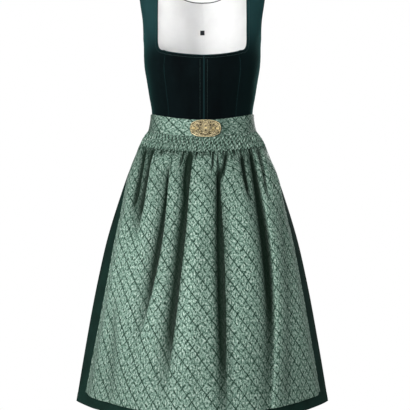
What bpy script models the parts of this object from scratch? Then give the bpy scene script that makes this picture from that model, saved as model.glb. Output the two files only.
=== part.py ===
"""A dirndl dress and its apron, filled out as if worn, one closed solid for each piece that is cut and sewn.

Millimetres are used throughout and turned to metres as each mesh is made. X runs to the wearer's left,
the front faces -Y and +Z is up. A station is a height over the waist. Over the underarm it goes on up and
over the shoulder, where the front and the back meet. The origin lies between the tops of the two straps.
"""

from collections import namedtuple
from math import pi, radians, sin

import bpy
import numpy as np

METRE = 0.001  # a millimetre

# Driving dimensions, in mm
STRAP_TOP = 375.0  # the tops of the straps over the waist
SHOULDER_SEAM = STRAP_TOP - 0.25  # where the front and the back strap end, either side of the top
SHOULDER_TURN = 20.0  # over this far below the seams the walls come to stand upright
UNDERARM = 173.0
WAIST_SEAM = -12.0  # at the sides; bodice and skirt meet here under the apron's band
FRONT_DIP = 20.0  # how much lower the waist runs at the centre front
DIP_REACH = 90.0  # how far up the bodice its levels still dip with the waist
SKIRT_HEM = -688.0
APRON_HEM = -655.0
APRON_HEM_DIP = 9.0
BAND_TOP = -2.0
BAND_HEIGHT = 41.0
GATHERS_HEIGHT = 37.0
NECK_FRONT = 122.0  # the front neckline at the centre
NECK_BACK = 272.0  # the station of the back neckline at the centre
NECK_HALF = 105.5  # half the distance between the straps
BACK_NECK_SQUARENESS = 2.4
SHOULDER_SLOPE = 0.36  # fall of the shoulder per mm outwards from the neck
CLOSING_X = 4.0  # the front edges meet a little to the wearer's left

VELVET_WALL = 2.0
SKIRT_WALL = 1.5
APRON_WALL = 1.5
LINING_WALL = 1.0
BAND_WALL = 2.0
GATHERS_WALL = 1.0
SEAM_GAP = 0.34  # between neighbouring pieces
LAYER_GAP = 1.2  # between one layer and the next
LINING_GAP = 0.8
PIPING_RADIUS = 1.3
PIPING_SIDES = 4

# Grid counts
CENTRE_COLUMNS = 8
SIDE_COLUMNS = 6
SIDE_BACK_COLUMNS = 5
LINING_COLUMNS = 4
BAND_COLUMNS = 28
SKIRT_FRONT_COLUMNS = 32
SKIRT_BACK_COLUMNS = 36
APRON_COLUMNS = 84  # two for each small gather under the gathered band
GATHERS = 72  # each gather of the band is one ridge and one groove

# Levels down a hanging panel, as shares of its drop
SKIRT_FRONT_LEVELS = (0, 0.022, 0.05, 0.1, 0.18, 0.3, 0.45, 0.63, 0.82, 1)
SKIRT_BACK_LEVELS = (0, 0.021, 0.044, 0.076, 0.125, 0.2, 0.3, 0.42, 0.55, 0.69, 0.84, 1)
APRON_LEVELS = (0, 0.03, 0.07, 0.125, 0.2, 0.29, 0.39, 0.5, 0.62, 0.75, 0.88, 1)
BAND_LEVELS = (0, 0.5, 1)

# The form that the dress stands on. Fullness is the power of the cosine in a section: under 1 is squarer
# than an ellipse, over 1 comes to a corner at the sides.
Section = namedtuple("Section", "station half_width front_depth back_depth front_fullness back_fullness")
SECTIONS = [
    Section(-688, 302.0, 262, 262, 1.85, 1.60),
    Section(-542, 277.5, 240, 243, 1.70, 1.48),
    Section(-398, 250.5, 216, 221, 1.50, 1.34),
    Section(-302, 228.5, 194, 200, 1.34, 1.24),
    Section(-206, 199.5, 166, 173, 1.17, 1.12),
    Section(-134, 174.0, 141, 147, 1.04, 1.02),
    Section(-86, 152.5, 118, 124, 0.96, 0.96),
    Section(-62, 140.5, 107, 113, 0.92, 0.94),
    Section(-42, 127.5, 98, 102, 0.89, 0.92),
    Section(-26, 123.3, 94, 95, 0.88, 0.91),
    Section(-12, 121.3, 92, 91, 0.87, 0.90),
    Section(5, 121.5, 94, 89, 0.87, 0.90),
    Section(34, 126.0, 99, 89, 0.87, 0.89),
    Section(58, 129.5, 107, 91, 0.86, 0.88),
    Section(82, 133.8, 115, 94, 0.85, 0.87),
    Section(106, 138.0, 119, 98, 0.84, 0.86),
    Section(130, 139.8, 118, 101, 0.83, 0.85),
    Section(173, 141.2, 112, 104, 0.82, 0.84),
    Section(215, 148.0, 112, 104, 0.82, 0.84),
    Section(285, 161.0, 112, 104, 0.84, 0.85),
    Section(375, 178.0, 112, 104, 0.86, 0.86),
]

# How the chest and the back go over the shoulder, by share of the way from underarm to strap top:
# the share of the depth that is left and the share of the height that is reached
Shoulder = namedtuple("Shoulder", "share chest_depth chest_height back_depth back_height")
SHOULDERS = [
    Shoulder(0.0, 1.00, 0.000, 1.00, 0.000),
    Shoulder(0.2, 0.92, 0.220, 1.00, 0.240),
    Shoulder(0.4, 0.80, 0.440, 0.98, 0.470),
    Shoulder(0.6, 0.64, 0.670, 0.90, 0.700),
    Shoulder(0.8, 0.42, 0.870, 0.66, 0.890),
    Shoulder(0.9, 0.26, 0.955, 0.42, 0.960),
    Shoulder(1.0, 0.00, 1.000, 0.00, 1.000),
]

# The two edges of each bodice panel, from the waist up, for the wearer's left. x is how far out the edge
# lies, and out of reach of the form it lies on the side seam.
Edge = namedtuple("Edge", "inner_x inner_station outer_x outer_station")
SIDE_SEAM = 1000.0
FRONT_CENTRE = [
    Edge(CLOSING_X, WAIST_SEAM, 77.5, WAIST_SEAM),
    Edge(CLOSING_X, -2, 78.0, -2),
    Edge(CLOSING_X, 13, 79.5, 13),
    Edge(CLOSING_X, 41, 83.0, 43),
    Edge(CLOSING_X, 70, 87.0, 75),
    Edge(CLOSING_X, 93, 88.5, 100),
    Edge(CLOSING_X, 109, 87.0, 119),
    Edge(CLOSING_X, NECK_FRONT, 84.0, 134),
]
FRONT_SIDE = [
    Edge(77.5, WAIST_SEAM, SIDE_SEAM, WAIST_SEAM),
    Edge(78.0, -2, SIDE_SEAM, -2),
    Edge(79.5, 13, SIDE_SEAM, 15),
    Edge(83.0, 43, SIDE_SEAM, 48),
    Edge(87.0, 75, SIDE_SEAM, 84),
    Edge(88.5, 100, SIDE_SEAM, 112),
    Edge(87.0, 119, SIDE_SEAM, 135),
    Edge(84.0, 134, SIDE_SEAM, 155),
    Edge(96.0, 138, SIDE_SEAM, UNDERARM),
    Edge(103.0, 147, 141.0, 181),
    Edge(NECK_HALF, 165, 140.5, 194),
    Edge(NECK_HALF, 195, 141.5, 216),
    Edge(NECK_HALF, 235, 146.5, 250),
    Edge(NECK_HALF, 275, 151.5, 285),
    Edge(NECK_HALF, 315, 156.5, 320),
    Edge(NECK_HALF, 348, 160.0, 350),
    Edge(NECK_HALF, SHOULDER_SEAM, 161.0, SHOULDER_SEAM),
]
BACK_SIDE = [
    Edge(51.5, WAIST_SEAM, SIDE_SEAM, WAIST_SEAM),
    Edge(52.0, -2, SIDE_SEAM, -2),
    Edge(53.5, 15, SIDE_SEAM, 15),
    Edge(58.0, 52, SIDE_SEAM, 48),
    Edge(65.5, 88, SIDE_SEAM, 80),
    Edge(77.5, 124, SIDE_SEAM, 112),
    Edge(94.0, 157, SIDE_SEAM, 144),
    Edge(114.0, 183, SIDE_SEAM, UNDERARM),
]
BACK_CENTRE = [
    Edge(0, WAIST_SEAM, 51.5, WAIST_SEAM),
    Edge(0, -2, 52.0, -2),
    Edge(0, 15, 53.5, 15),
    Edge(0, 55, 58.0, 52),
    Edge(0, 100, 65.5, 88),
    Edge(0, 145, 77.5, 124),
    Edge(0, 190, 94.0, 157),
    Edge(0, 233, 114.0, 183),
]
BACK_ARMHOLE = [  # x and station up the back edge of the armhole
    (125.5, 197),
    (133.5, 216),
    (139.0, 240),
    (144.0, 268),
    (149.5, 296),
    (155.0, 322),
    (159.3, 350),
    (161.0, SHOULDER_SEAM),
]
BACK_ARMHOLE_SAG = 7.0
FRONT_NECK_SAG = 2.5

# What the apron leaves free of the skirt at each side, and how far it stands off the skirt
Apron = namedtuple("Apron", "station free_strip stand_off")
APRON_LIE = [
    Apron(-690, 24, 21.0),
    Apron(-350, 22, 21.0),
    Apron(-230, 16, 20.0),
    Apron(-160, 9, 16.0),
    Apron(-125, 7, 12.0),
    Apron(-100, 6, 6.5),
    Apron(-80, 5, 4.6),
    Apron(-42, 3, 4.0),
]
APRON_EDGE_OFF = 4.2  # the stand-off at its side edges
APRON_EDGE_ZONE = radians(13)
APRON_CLEAR = 2.6  # the least stand-off at the bottom of a fold

# The apron's folds: x where the groove starts, halfway and where it ends, at the stations named, how far it
# sinks towards the skirt (1 is all the way), and its width towards the wearer's left and right
Fold = namedtuple("Fold", "top x_top x_middle bottom x_bottom sink width_left width_right")
APRON_FOLDS = [
    Fold(-88, -132, -151, -250, -172, 0.80, 7, 8),
    Fold(-88, -111, -132, -310, -162, 0.75, 10, 9),
    Fold(-115, -68, -98, -530, -150, 0.95, 12, 11),
    Fold(-100, -23, -55, -590, -80, 1.00, 14, 13),
    Fold(-250, 7, -6, -700, -20, 0.25, 20, 20),
    Fold(-118, 23, 42, -700, 42, 0.92, 16, 8),
    Fold(-102, 54, 52, -165, 48, 0.60, 5, 5),
    Fold(-98, 85, 93, -205, 106, 0.75, 9, 9),
    Fold(-88, 113, 142, -670, 138, 1.00, 9, 16),
    Fold(-86, 129, 142, -205, 157, 0.70, 7, 7),
    Fold(-200, 181, 200, -700, 188, 0.40, 18, 18),
    Fold(-430, -206, -206, -700, -214, 0.40, 17, 17),
]
FOLD_FADE = 38.0  # the stretch over which a fold starts or ends
GATHER_DEPTH = 2.3
SMALL_GATHER_DEPTH = 2.0  # where the gathers open out, just under the band
SMALL_GATHER_FADE = 42.0
FINGER_DEPTH = 2.6
FINGER_PITCH = 8.5  # columns of the grid
FINGER_FADE = 80.0

# The skirt's folds, as angles round from the centre front at the waist and at the hem, with the stations
# where each starts and ends, its depth and its half width, both at the hem
SkirtFold = namedtuple("SkirtFold", "top_angle hem_angle top bottom depth width")
SKIRT_FOLDS = [
    SkirtFold(-58, -50, -300, -700, 5, 20),
    SkirtFold(-24, -20, -280, -700, 6, 22),
    SkirtFold(12, 10, -300, -700, 6, 22),
    SkirtFold(47, 42, -280, -700, 5, 20),
    SkirtFold(99, 102, -40, -430, 9, 11),
    SkirtFold(106, 112, -40, -700, 17, 15),
    SkirtFold(113, 120, -40, -250, 10, 9),
    SkirtFold(121, 127, -40, -700, 19, 15),
    SkirtFold(130, 136, -40, -470, 14, 12),
    SkirtFold(138, 144, -40, -700, 18, 15),
    SkirtFold(146, 151, -40, -290, 10, 10),
    SkirtFold(154, 158, -40, -700, 20, 16),
    SkirtFold(163, 166, -40, -540, 14, 12),
    SkirtFold(172, 173, -40, -700, 17, 14),
    SkirtFold(181, 182, -40, -330, 10, 9),
    SkirtFold(189, 190, -40, -700, 20, 16),
    SkirtFold(198, 199, -40, -610, 14, 13),
    SkirtFold(207, 206, -40, -700, 18, 15),
    SkirtFold(215, 212, -40, -260, 9, 10),
    SkirtFold(223, 219, -40, -700, 20, 16),
    SkirtFold(231, 226, -40, -500, 14, 12),
    SkirtFold(239, 235, -40, -700, 17, 14),
    SkirtFold(247, 243, -40, -330, 10, 9),
    SkirtFold(254, 249, -40, -700, 17, 14),
    SkirtFold(261, 258, -40, -400, 9, 11),
]
SKIRT_FOLD_FADE = 110.0
WAIST_FOLD_SHARE = 0.16  # depth and width of a skirt fold at the waist, as shares of those at the hem
WAIST_WIDTH_SHARE = 0.36

# The clasp, an oval of two halves with scalloped edges, and a medallion over their joint
CLASP_X = 7.5
CLASP_STATION = -44.0
CLASP_BACK = 5.2  # off the form
CLASP_WIDTH = 72.0
CLASP_HEIGHT = 43.0
CLASP_SQUARENESS = 2.7
CLASP_SCALLOPS = 16
CLASP_SCALLOP_DEPTH = 0.03
CLASP_PETALS = 8
CLASP_SEGMENTS = 20  # in each half
MEDALLION_WIDTH = 17.0
MEDALLION_HEIGHT = 34.0
MEDALLION_BACK = 3.5  # over the back of the halves
MEDALLION_COLUMNS = 6
# Share of the way out from the middle, the height there, and how far the petals rise and fall about it
Relief = namedtuple("Relief", "share height petal")
HALF_RELIEF = [Relief(0.12, 2.0, 0.0), Relief(0.42, 2.3, 0.4), Relief(0.72, 2.6, 0.5), Relief(0.9, 2.2, 0.0),
               Relief(1.0, 1.5, 0.0)]
MEDALLION_RELIEF = [Relief(0.0, 3.4, 0.0), Relief(0.35, 2.2, 0.2), Relief(0.75, 2.4, 0.3),
                    Relief(1.0, 1.2, 0.0)]

SIZE_TAB_WIDTH = 11.0
SIZE_TAB_HEIGHT = 10.0
SIZE_TAB_STATION = 206.0
SIZE_TAB_WALL = 0.6
SIZE_TAB_GAP = 0.7

Finish = namedtuple("Finish", "colour roughness metallic")
FINISHES = {
    "velvet": Finish((0.012, 0.035, 0.035), 0.85, 0.0),
    "skirt_cloth": Finish((0.016, 0.040, 0.034), 0.80, 0.0),
    "jacquard": Finish((0.170, 0.260, 0.215), 0.55, 0.0),
    "lining_cloth": Finish((0.870, 0.870, 0.860), 0.70, 0.0),
    "gilt": Finish((0.480, 0.340, 0.120), 0.35, 1.0),
    "woven_tab": Finish((0.030, 0.035, 0.040), 0.80, 0.0),
}


# Numbers
def column(table, name):
    return np.array([getattr(row, name) for row in table], float)


def smooth(x, xs, ys):
    """ys at x along a curve that runs softly through the points of a table whose xs rise."""
    x = np.clip(x, xs[0], xs[-1])
    slope = np.gradient(ys, xs)
    i = np.clip(np.searchsorted(xs, x, side="right") - 1, 0, len(xs) - 2)
    span = xs[i + 1] - xs[i]
    t = (x - xs[i]) / span
    first = (1 + 2 * t) * (1 - t) ** 2 * ys[i] + t * (1 - t) ** 2 * span * slope[i]
    second = t * t * (3 - 2 * t) * ys[i + 1] - t * t * (1 - t) * span * slope[i + 1]
    return first + second


def read(table, key, name, at):
    """A column of a table, read at a value of its key column."""
    return smooth(at, column(table, key), column(table, name))


def ease(t):
    """0 up to t = 0 and 1 from t = 1, softly between."""
    t = np.clip(t, 0, 1)
    return t * t * (3 - 2 * t)


def unit(v):
    return v / np.linalg.norm(v, axis=-1, keepdims=True)


# The form
def half_width(station):
    return read(SECTIONS, "station", "half_width", station)


def form(angle, station):
    """The point of the form at an angle round from the centre front, in radians, and a station."""
    angle, station = np.broadcast_arrays(np.asarray(angle, float), np.asarray(station, float))
    front = np.cos(angle) >= 0

    def side(name):
        return np.where(front, read(SECTIONS, "station", "front_" + name, station),
                        read(SECTIONS, "station", "back_" + name, station))

    share = np.clip((station - UNDERARM) / (STRAP_TOP - UNDERARM), 0, 1)
    left_over = np.where(front, read(SHOULDERS, "share", "chest_depth", share),
                         read(SHOULDERS, "share", "back_depth", share))
    climbed = np.where(front, read(SHOULDERS, "share", "chest_height", share),
                       read(SHOULDERS, "share", "back_height", share))
    x = half_width(station) * np.sin(angle)
    y = np.where(front, -1, 1) * side("depth") * np.abs(np.cos(angle)) ** side("fullness") * left_over
    top = STRAP_TOP - SHOULDER_SLOPE * np.maximum(np.abs(x) - NECK_HALF, 0)
    z = np.where(station > UNDERARM, UNDERARM + (top - UNDERARM) * climbed, station)
    return np.stack([x, y, z - STRAP_TOP], -1)


def form_normal(angle, station, step=radians(3), rise=3.0):
    """The way out of the form, taken across the corner at the sides, and straight up along the shoulder
    seams, so that both panels there agree."""
    across = form(angle + step, station) - form(angle - step, station)
    up = form(angle, station + rise) - form(angle, station - rise)
    out = unit(np.cross(across, up))
    out[..., 1] *= ease((SHOULDER_SEAM - station) / SHOULDER_TURN)
    return unit(out)


def angle_at(x, station, back=False):
    """The angle at which the form lies x to the wearer's left at a station."""
    sideways = np.arcsin(np.clip(np.asarray(x, float) / half_width(station), -1, 1))
    return pi - sideways if back else sideways


def dip(angle):
    """1 at the centre front, falling to 0 at the sides and all round the back."""
    return np.where(np.cos(angle) > 0, np.cos(angle) ** 2, 0)


def moved(angle, station, out):
    """Points of the form moved straight out of it."""
    return form(angle, station) + form_normal(angle, station) * np.asarray(out, float)[..., None]


def grid_normal(points):
    """The way out of a grid of points whose rows run down and columns run round with the angle."""
    across, down = np.gradient(points, axis=1), np.gradient(points, axis=0)
    return unit(np.cross(down, across))


# Meshes
def finish(name):
    material = bpy.data.materials.get(name) or bpy.data.materials.new(name)
    material.use_nodes = True
    shader = material.node_tree.nodes["Principled BSDF"]
    look = FINISHES[name]
    shader.inputs["Base Color"].default_value = (*look.colour, 1)
    shader.inputs["Roughness"].default_value = look.roughness
    shader.inputs["Metallic"].default_value = look.metallic
    return material


def make(name, points, faces, material, crease=radians(50)):
    """An object from points in mm. Its faces are turned to point out."""
    mesh = bpy.data.meshes.new(name)
    mesh.from_pydata([tuple(p) for p in np.asarray(points) * METRE], [], faces)
    corners = np.asarray(points)[np.array([f[:3] for f in faces])]
    if np.einsum("ij,ij->", corners[:, 0], np.cross(corners[:, 1], corners[:, 2])) < 0:
        mesh.flip_normals()
    mesh.materials.append(finish(material))
    mesh.shade_smooth()
    mesh.set_sharp_from_angle(angle=crease)
    shape = bpy.data.objects.new(name, mesh)
    bpy.context.scene.collection.objects.link(shape)
    return shape


def wall(name, outer, inner, material):
    """A closed wall between two grids of points of the same size. Both sides are cut into triangles along
    the same diagonals, the shorter ones of the outer side, so that the wall keeps its thickness."""
    rows, columns = outer.shape[:2]
    count = rows * columns

    def at(row, col, side):
        return side * count + row * columns + col

    faces = []
    for row in range(rows - 1):
        for col in range(columns - 1):
            falling = np.linalg.norm(outer[row, col] - outer[row + 1, col + 1])
            rising = np.linalg.norm(outer[row + 1, col] - outer[row, col + 1])
            a, b, c, d = (row, col), (row, col + 1), (row + 1, col + 1), (row + 1, col)
            halves = [(a, b, c), (a, c, d)] if falling < rising else [(a, b, d), (b, c, d)]
            for half in halves:
                faces.append(tuple(at(*p, 0) for p in half))
                faces.append(tuple(at(*p, 1) for p in reversed(half)))
    rim = [(0, col) for col in range(columns)]
    rim += [(row, columns - 1) for row in range(1, rows)]
    rim += [(rows - 1, col) for col in range(columns - 2, -1, -1)]
    rim += [(row, 0) for row in range(rows - 2, 0, -1)]
    for here, there in zip(rim, rim[1:] + rim[:1]):
        h, t, t_in, h_in = at(*here, 0), at(*there, 0), at(*there, 1), at(*here, 1)
        faces.append((t, h, h_in))
        faces.append((t, h_in, t_in))
    return make(name, np.concatenate([outer.reshape(-1, 3), inner.reshape(-1, 3)]), faces, material)


# The bodice
def panel_grid(edges, columns, back=False, sag=0.0, inner_gap=SEAM_GAP, outer_gap=SEAM_GAP):
    """Angles and stations over a bodice panel of the wearer's left, rows from the top down. Half the gap
    to the next piece is taken off along each seam, and the top edge sags between its ends."""
    rows = edges[::-1]
    inner_x, inner_station = column(rows, "inner_x"), column(rows, "inner_station")
    outer_x, outer_station = column(rows, "outer_x"), column(rows, "outer_station")
    inner = angle_at(inner_x, inner_station, back)
    outer = angle_at(outer_x, outer_station, back)
    side = pi / 2
    outer = np.where(outer_x >= SIDE_SEAM, side, outer)
    toward = np.sign(outer - inner)
    inner = inner + toward * inner_gap / 2 / half_width(inner_station)
    outer = outer - toward * outer_gap / 2 / half_width(outer_station)
    t = np.linspace(0, 1, columns + 1)
    angle = inner[:, None] * (1 - t) + outer[:, None] * t
    station = inner_station[:, None] * (1 - t) + outer_station[:, None] * t
    near_top = np.linspace(1, 0, len(rows))[:, None] ** 4
    near_waist = 1 - ease((station - WAIST_SEAM) / DIP_REACH)
    station = station - sag * near_top * 4 * t * (1 - t) - FRONT_DIP * near_waist * dip(angle)
    station[-1] += SEAM_GAP / 2
    return angle, station


def back_edges():
    """The back panel's edges: the centre back seam and the neckline, against the side back seam and the
    armhole."""
    edges = list(BACK_CENTRE)
    for turn, (x, station) in zip(np.linspace(0, pi / 2, len(BACK_ARMHOLE)), BACK_ARMHOLE):
        across = NECK_HALF * sin(turn)
        fall = (1 - min(1, sin(turn)) ** BACK_NECK_SQUARENESS) ** (1 / BACK_NECK_SQUARENESS)
        edges.append(Edge(across, SHOULDER_SEAM - (SHOULDER_SEAM - NECK_BACK) * fall, x, station))
    return edges


def mirrored(points):
    """The same points on the wearer's right, with the columns turned round."""
    return (points * [-1, 1, 1])[:, ::-1]


def both_sides(name, outer, inner, material):
    """A panel for the wearer's left and its mirror image for the right."""
    wall(name + "_left", outer, inner, material)
    wall(name + "_right", mirrored(outer), mirrored(inner), material)


def layer(angle, station, out, thickness):
    """The two sides of an even layer of cloth whose outer side stands off the form by out."""
    return moved(angle, station, out + 0 * angle), moved(angle, station, out - thickness + 0 * angle)


def front_centre_grid(closing_x):
    edges = [row._replace(inner_x=closing_x) for row in FRONT_CENTRE]
    return panel_grid(edges, CENTRE_COLUMNS, sag=FRONT_NECK_SAG)


def bodice():
    """Eight velvet panels, and the lining of the four at the back."""
    outer, inner = layer(*front_centre_grid(CLOSING_X), 0, VELVET_WALL)
    wall("bodice_front_left", outer, inner, "velvet")
    outer, inner = layer(*front_centre_grid(-CLOSING_X), 0, VELVET_WALL)
    wall("bodice_front_right", mirrored(outer), mirrored(inner), "velvet")
    both_sides("bodice_side_front", *layer(*panel_grid(FRONT_SIDE, SIDE_COLUMNS), 0, VELVET_WALL), "velvet")
    backs = [("side_back", BACK_SIDE, SIDE_BACK_COLUMNS, BACK_ARMHOLE_SAG),
             ("back", back_edges(), SIDE_COLUMNS, 0)]
    for name, edges, columns, sag in backs:
        panel = panel_grid(edges, columns, True, sag)
        lining = panel_grid(edges, LINING_COLUMNS, True, sag)
        both_sides("bodice_" + name, *layer(*panel, 0, VELVET_WALL), "velvet")
        both_sides("lining_" + name, *layer(*lining, -VELVET_WALL - LINING_GAP, LINING_WALL), "lining_cloth")


def neck_edge(closing_x):
    """Angles and stations along the neckline, from the centre front over the strap to the centre back."""
    runs = []
    angle, station = front_centre_grid(closing_x)
    runs.append(np.stack([angle[0], station[0]], 1))
    angle, station = panel_grid(FRONT_SIDE, SIDE_COLUMNS)
    neck_rows = len(FRONT_SIDE) - len(FRONT_CENTRE)
    runs.append(np.stack([angle[:neck_rows, 0], station[:neck_rows, 0]], 1)[::-1])
    angle, station = panel_grid(back_edges(), SIDE_COLUMNS, True)
    neck_rows = len(BACK_ARMHOLE)
    runs.append(np.stack([angle[:neck_rows, 0], station[:neck_rows, 0]], 1))
    return np.concatenate(runs)


def neck_piping():
    """A closed cord of velvet along the neckline, just off the edges of the panels."""
    left, right = neck_edge(CLOSING_X), neck_edge(-CLOSING_X)
    middle = -VELVET_WALL / 2
    path = np.concatenate([
        moved(left[:, 0], left[:, 1], middle + 0 * left[:, 0]),
        (moved(right[:, 0], right[:, 1], middle + 0 * right[:, 0]) * [-1, 1, 1])[::-1],
    ])
    out = np.concatenate([form_normal(*left.T), (form_normal(*right.T) * [-1, 1, 1])[::-1]])
    kept = [i for i in range(len(path)) if np.linalg.norm(path[i] - path[i - 1]) > PIPING_RADIUS]
    path, out = path[kept], out[kept]
    along = unit(np.roll(path, -1, 0) - np.roll(path, 1, 0))
    aside = unit(np.cross(out, along))
    out = np.cross(along, aside)
    centre = path + aside * (PIPING_RADIUS + SEAM_GAP)
    turn = 2 * pi * np.arange(PIPING_SIDES) / PIPING_SIDES
    rings = centre[:, None] + PIPING_RADIUS * (
        np.cos(turn)[:, None] * aside[:, None] + np.sin(turn)[:, None] * out[:, None])
    count = len(centre)
    faces = []
    for i in range(count):
        for j in range(PIPING_SIDES):
            here, there = i * PIPING_SIDES, (i + 1) % count * PIPING_SIDES
            nxt = (j + 1) % PIPING_SIDES
            faces.append((here + j, there + j, there + nxt))
            faces.append((here + j, there + nxt, here + nxt))
    make("neck_piping", rings.reshape(-1, 3), faces, "velvet")


def size_tab():
    """The small plain tab woven for the size, on the lining of the back."""
    station = SIZE_TAB_STATION + SIZE_TAB_HEIGHT * np.array([[0.5], [-0.5]])
    x = SIZE_TAB_WIDTH * np.array([[-0.5, 0, 0.5]])
    angle = angle_at(-x, station, True)
    out = -VELVET_WALL - LINING_GAP - LINING_WALL - SIZE_TAB_GAP
    wall("size_tab", *layer(angle, station + 0 * angle, out, SIZE_TAB_WALL), "woven_tab")


# The skirt
def skirt_sink(angle, station):
    """How deep the skirt's folds lie under the form."""
    point = form(angle, station)
    reach = np.hypot(point[..., 0], point[..., 1])
    total = 0
    for fold in SKIRT_FOLDS:
        down = (WAIST_SEAM - station) / (WAIST_SEAM - SKIRT_HEM)
        centre = radians(fold.top_angle) + radians(fold.hem_angle - fold.top_angle) * down
        width = fold.width * (WAIST_WIDTH_SHARE + (1 - WAIST_WIDTH_SHARE) * down)
        depth = fold.depth * (WAIST_FOLD_SHARE + (1 - WAIST_FOLD_SHARE) * down)
        held = ease(1 + (fold.top - station) / FOLD_FADE)
        if fold.bottom > SKIRT_HEM:
            held = held * ease((station - fold.bottom) / SKIRT_FOLD_FADE)
        total = total + held * depth * np.exp(-((angle - centre) * reach / width) ** 2)
    return total


def skirt_panel(name, first, last, levels, columns, shift):
    """A panel of the skirt between two angles. The whole panel is shifted a hair towards the front or the
    back to leave the gap at the side seams."""
    levels = np.array(levels)[:, None]
    angle = np.linspace(first, last, columns + 1)[None] + 0 * levels
    top = WAIST_SEAM - FRONT_DIP * dip(angle) - SEAM_GAP / 2
    station = top + levels * (SKIRT_HEM - top)
    centre_back = np.isclose(angle, pi)
    inwards = np.where(first < pi, -1, 1) * centre_back
    angle = angle + inwards * SEAM_GAP / 2 / half_width(station)
    outer = moved(angle, station, -skirt_sink(angle, station))
    seam = np.isclose(np.abs(np.cos(angle)), 0) | centre_back
    inner = outer - SKIRT_WALL * np.where(seam[..., None], form_normal(angle, station), grid_normal(outer))
    wall(name, outer + [0, shift, 0], inner + [0, shift, 0], "skirt_cloth")


def skirt():
    """A front panel, and two at the back that meet in a seam."""
    side, back = pi / 2, pi
    skirt_panel("skirt_front", -side, side, SKIRT_FRONT_LEVELS, SKIRT_FRONT_COLUMNS, -SEAM_GAP / 2)
    skirt_panel("skirt_back_left", side, back, SKIRT_BACK_LEVELS, SKIRT_BACK_COLUMNS, SEAM_GAP / 2)
    skirt_panel("skirt_back_right", back, back + side, SKIRT_BACK_LEVELS, SKIRT_BACK_COLUMNS, SEAM_GAP / 2)


# The apron
def apron_edge(station):
    """The angle of the apron's side edge."""
    half = half_width(station)
    return np.arcsin((half - read(APRON_LIE, "station", "free_strip", station)) / half)


def apron_stand_off(angle, station):
    """How far the apron's outer side stands off the form, its folds sunk towards the skirt."""
    spread = read(APRON_LIE, "station", "stand_off", station)
    inside = ease((apron_edge(station) - np.abs(angle)) / APRON_EDGE_ZONE)
    off = np.minimum(spread, APRON_EDGE_OFF) + np.maximum(spread - APRON_EDGE_OFF, 0) * inside
    x = half_width(station) * np.sin(angle) + off * form_normal(angle, station)[..., 0]
    sink = 0
    for fold in APRON_FOLDS:
        t = np.clip((fold.top - station) / (fold.top - fold.bottom), 0, 1)
        centre = (fold.x_top * (1 - t) * (1 - 2 * t) + fold.x_middle * 4 * t * (1 - t)
                  + fold.x_bottom * t * (2 * t - 1))
        width = np.where(x > centre, fold.width_left, fold.width_right)
        started = ease((fold.top + FOLD_FADE / 3 - station) / FOLD_FADE)
        held = started * ease((station - fold.bottom) / FOLD_FADE)
        sink = sink + fold.sink * held * np.exp(-((x - centre) / width) ** 2)
    return APRON_CLEAR + (off - APRON_CLEAR) * (1 - np.minimum(sink, 1))


def apron_grid(top, bottom, levels, columns):
    """Angles and stations over a piece of the apron, out to its side edges. top and bottom are stations at
    the sides, and the whole piece hangs lower at the front with the waist."""
    levels = np.array(levels)[:, None]
    across = np.linspace(-1, 1, columns + 1)[None]
    beside = top + levels * (bottom - top)
    angle = across * apron_edge(beside)
    hang = FRONT_DIP if bottom > APRON_HEM else FRONT_DIP + levels * (APRON_HEM_DIP - FRONT_DIP)
    return angle, beside - hang * dip(angle)


def uneven(count, least):
    """A number from least to 1 for each of many gathers, no two neighbours alike."""
    i = np.arange(count)
    return least + (1 - least) * (0.5 + 0.3 * np.sin(2.4 * i) + 0.2 * np.sin(1.1 * i + 1))


def apron_band():
    """The waistband's two halves, hooked at the centre back and joined by the clasp in front."""
    levels = np.array(BAND_LEVELS)[:, None]
    for start, turn in ((CLASP_X, 1), (-CLASP_X, -1)):
        first = angle_at(start, CLASP_STATION) + SEAM_GAP / 2 / half_width(CLASP_STATION)
        last = pi - SEAM_GAP / 2 / half_width(CLASP_STATION)
        angle = np.linspace(first, last, BAND_COLUMNS + 1)[None] + 0 * levels
        station = BAND_TOP - FRONT_DIP * dip(angle) - levels * BAND_HEIGHT
        outer, inner = layer(angle, station, LAYER_GAP + BAND_WALL, BAND_WALL)
        if turn > 0:
            wall("apron_band_left", outer, inner, "jacquard")
        else:
            wall("apron_band_right", mirrored(outer), mirrored(inner), "jacquard")


def apron_gathers():
    """The tightly gathered stretch under the waistband: gathers on the outside of an even layer."""
    top = BAND_TOP - BAND_HEIGHT - SEAM_GAP
    angle, station = apron_grid(top, top - GATHERS_HEIGHT, BAND_LEVELS, 2 * GATHERS)
    off = apron_stand_off(angle, station)
    ridge = np.repeat(uneven(GATHERS + 1, 0.55), 2)[: 2 * GATHERS + 1] * (np.arange(2 * GATHERS + 1) % 2)
    grown = ease(2.2 * np.array(BAND_LEVELS))[:, None]
    wall("apron_gathers", moved(angle, station, off + GATHER_DEPTH * ridge * grown),
         moved(angle, station, off - GATHERS_WALL), "jacquard")


def apron_skirt():
    """The apron's main panel. Small gathers open out under the band and run together into a few folds."""
    top = BAND_TOP - BAND_HEIGHT - GATHERS_HEIGHT - 2 * SEAM_GAP
    angle, station = apron_grid(top, APRON_HEM, APRON_LEVELS, APRON_COLUMNS)
    below = (top - FRONT_DIP * dip(angle)) - station
    i = np.arange(APRON_COLUMNS + 1)
    small = SMALL_GATHER_DEPTH * uneven(len(i), 0.5) * (i % 2) * (1 - ease(below / SMALL_GATHER_FADE))
    finger = 0.5 + 0.5 * np.sin(2 * pi * i / FINGER_PITCH + np.sin(i / 5.0))
    finger = FINGER_DEPTH * finger * (1 - ease(below / FINGER_FADE))
    outer = moved(angle, station, apron_stand_off(angle, station) + small + finger)
    wall("apron_skirt", outer, outer - APRON_WALL * grid_normal(outer), "jacquard")


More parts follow.
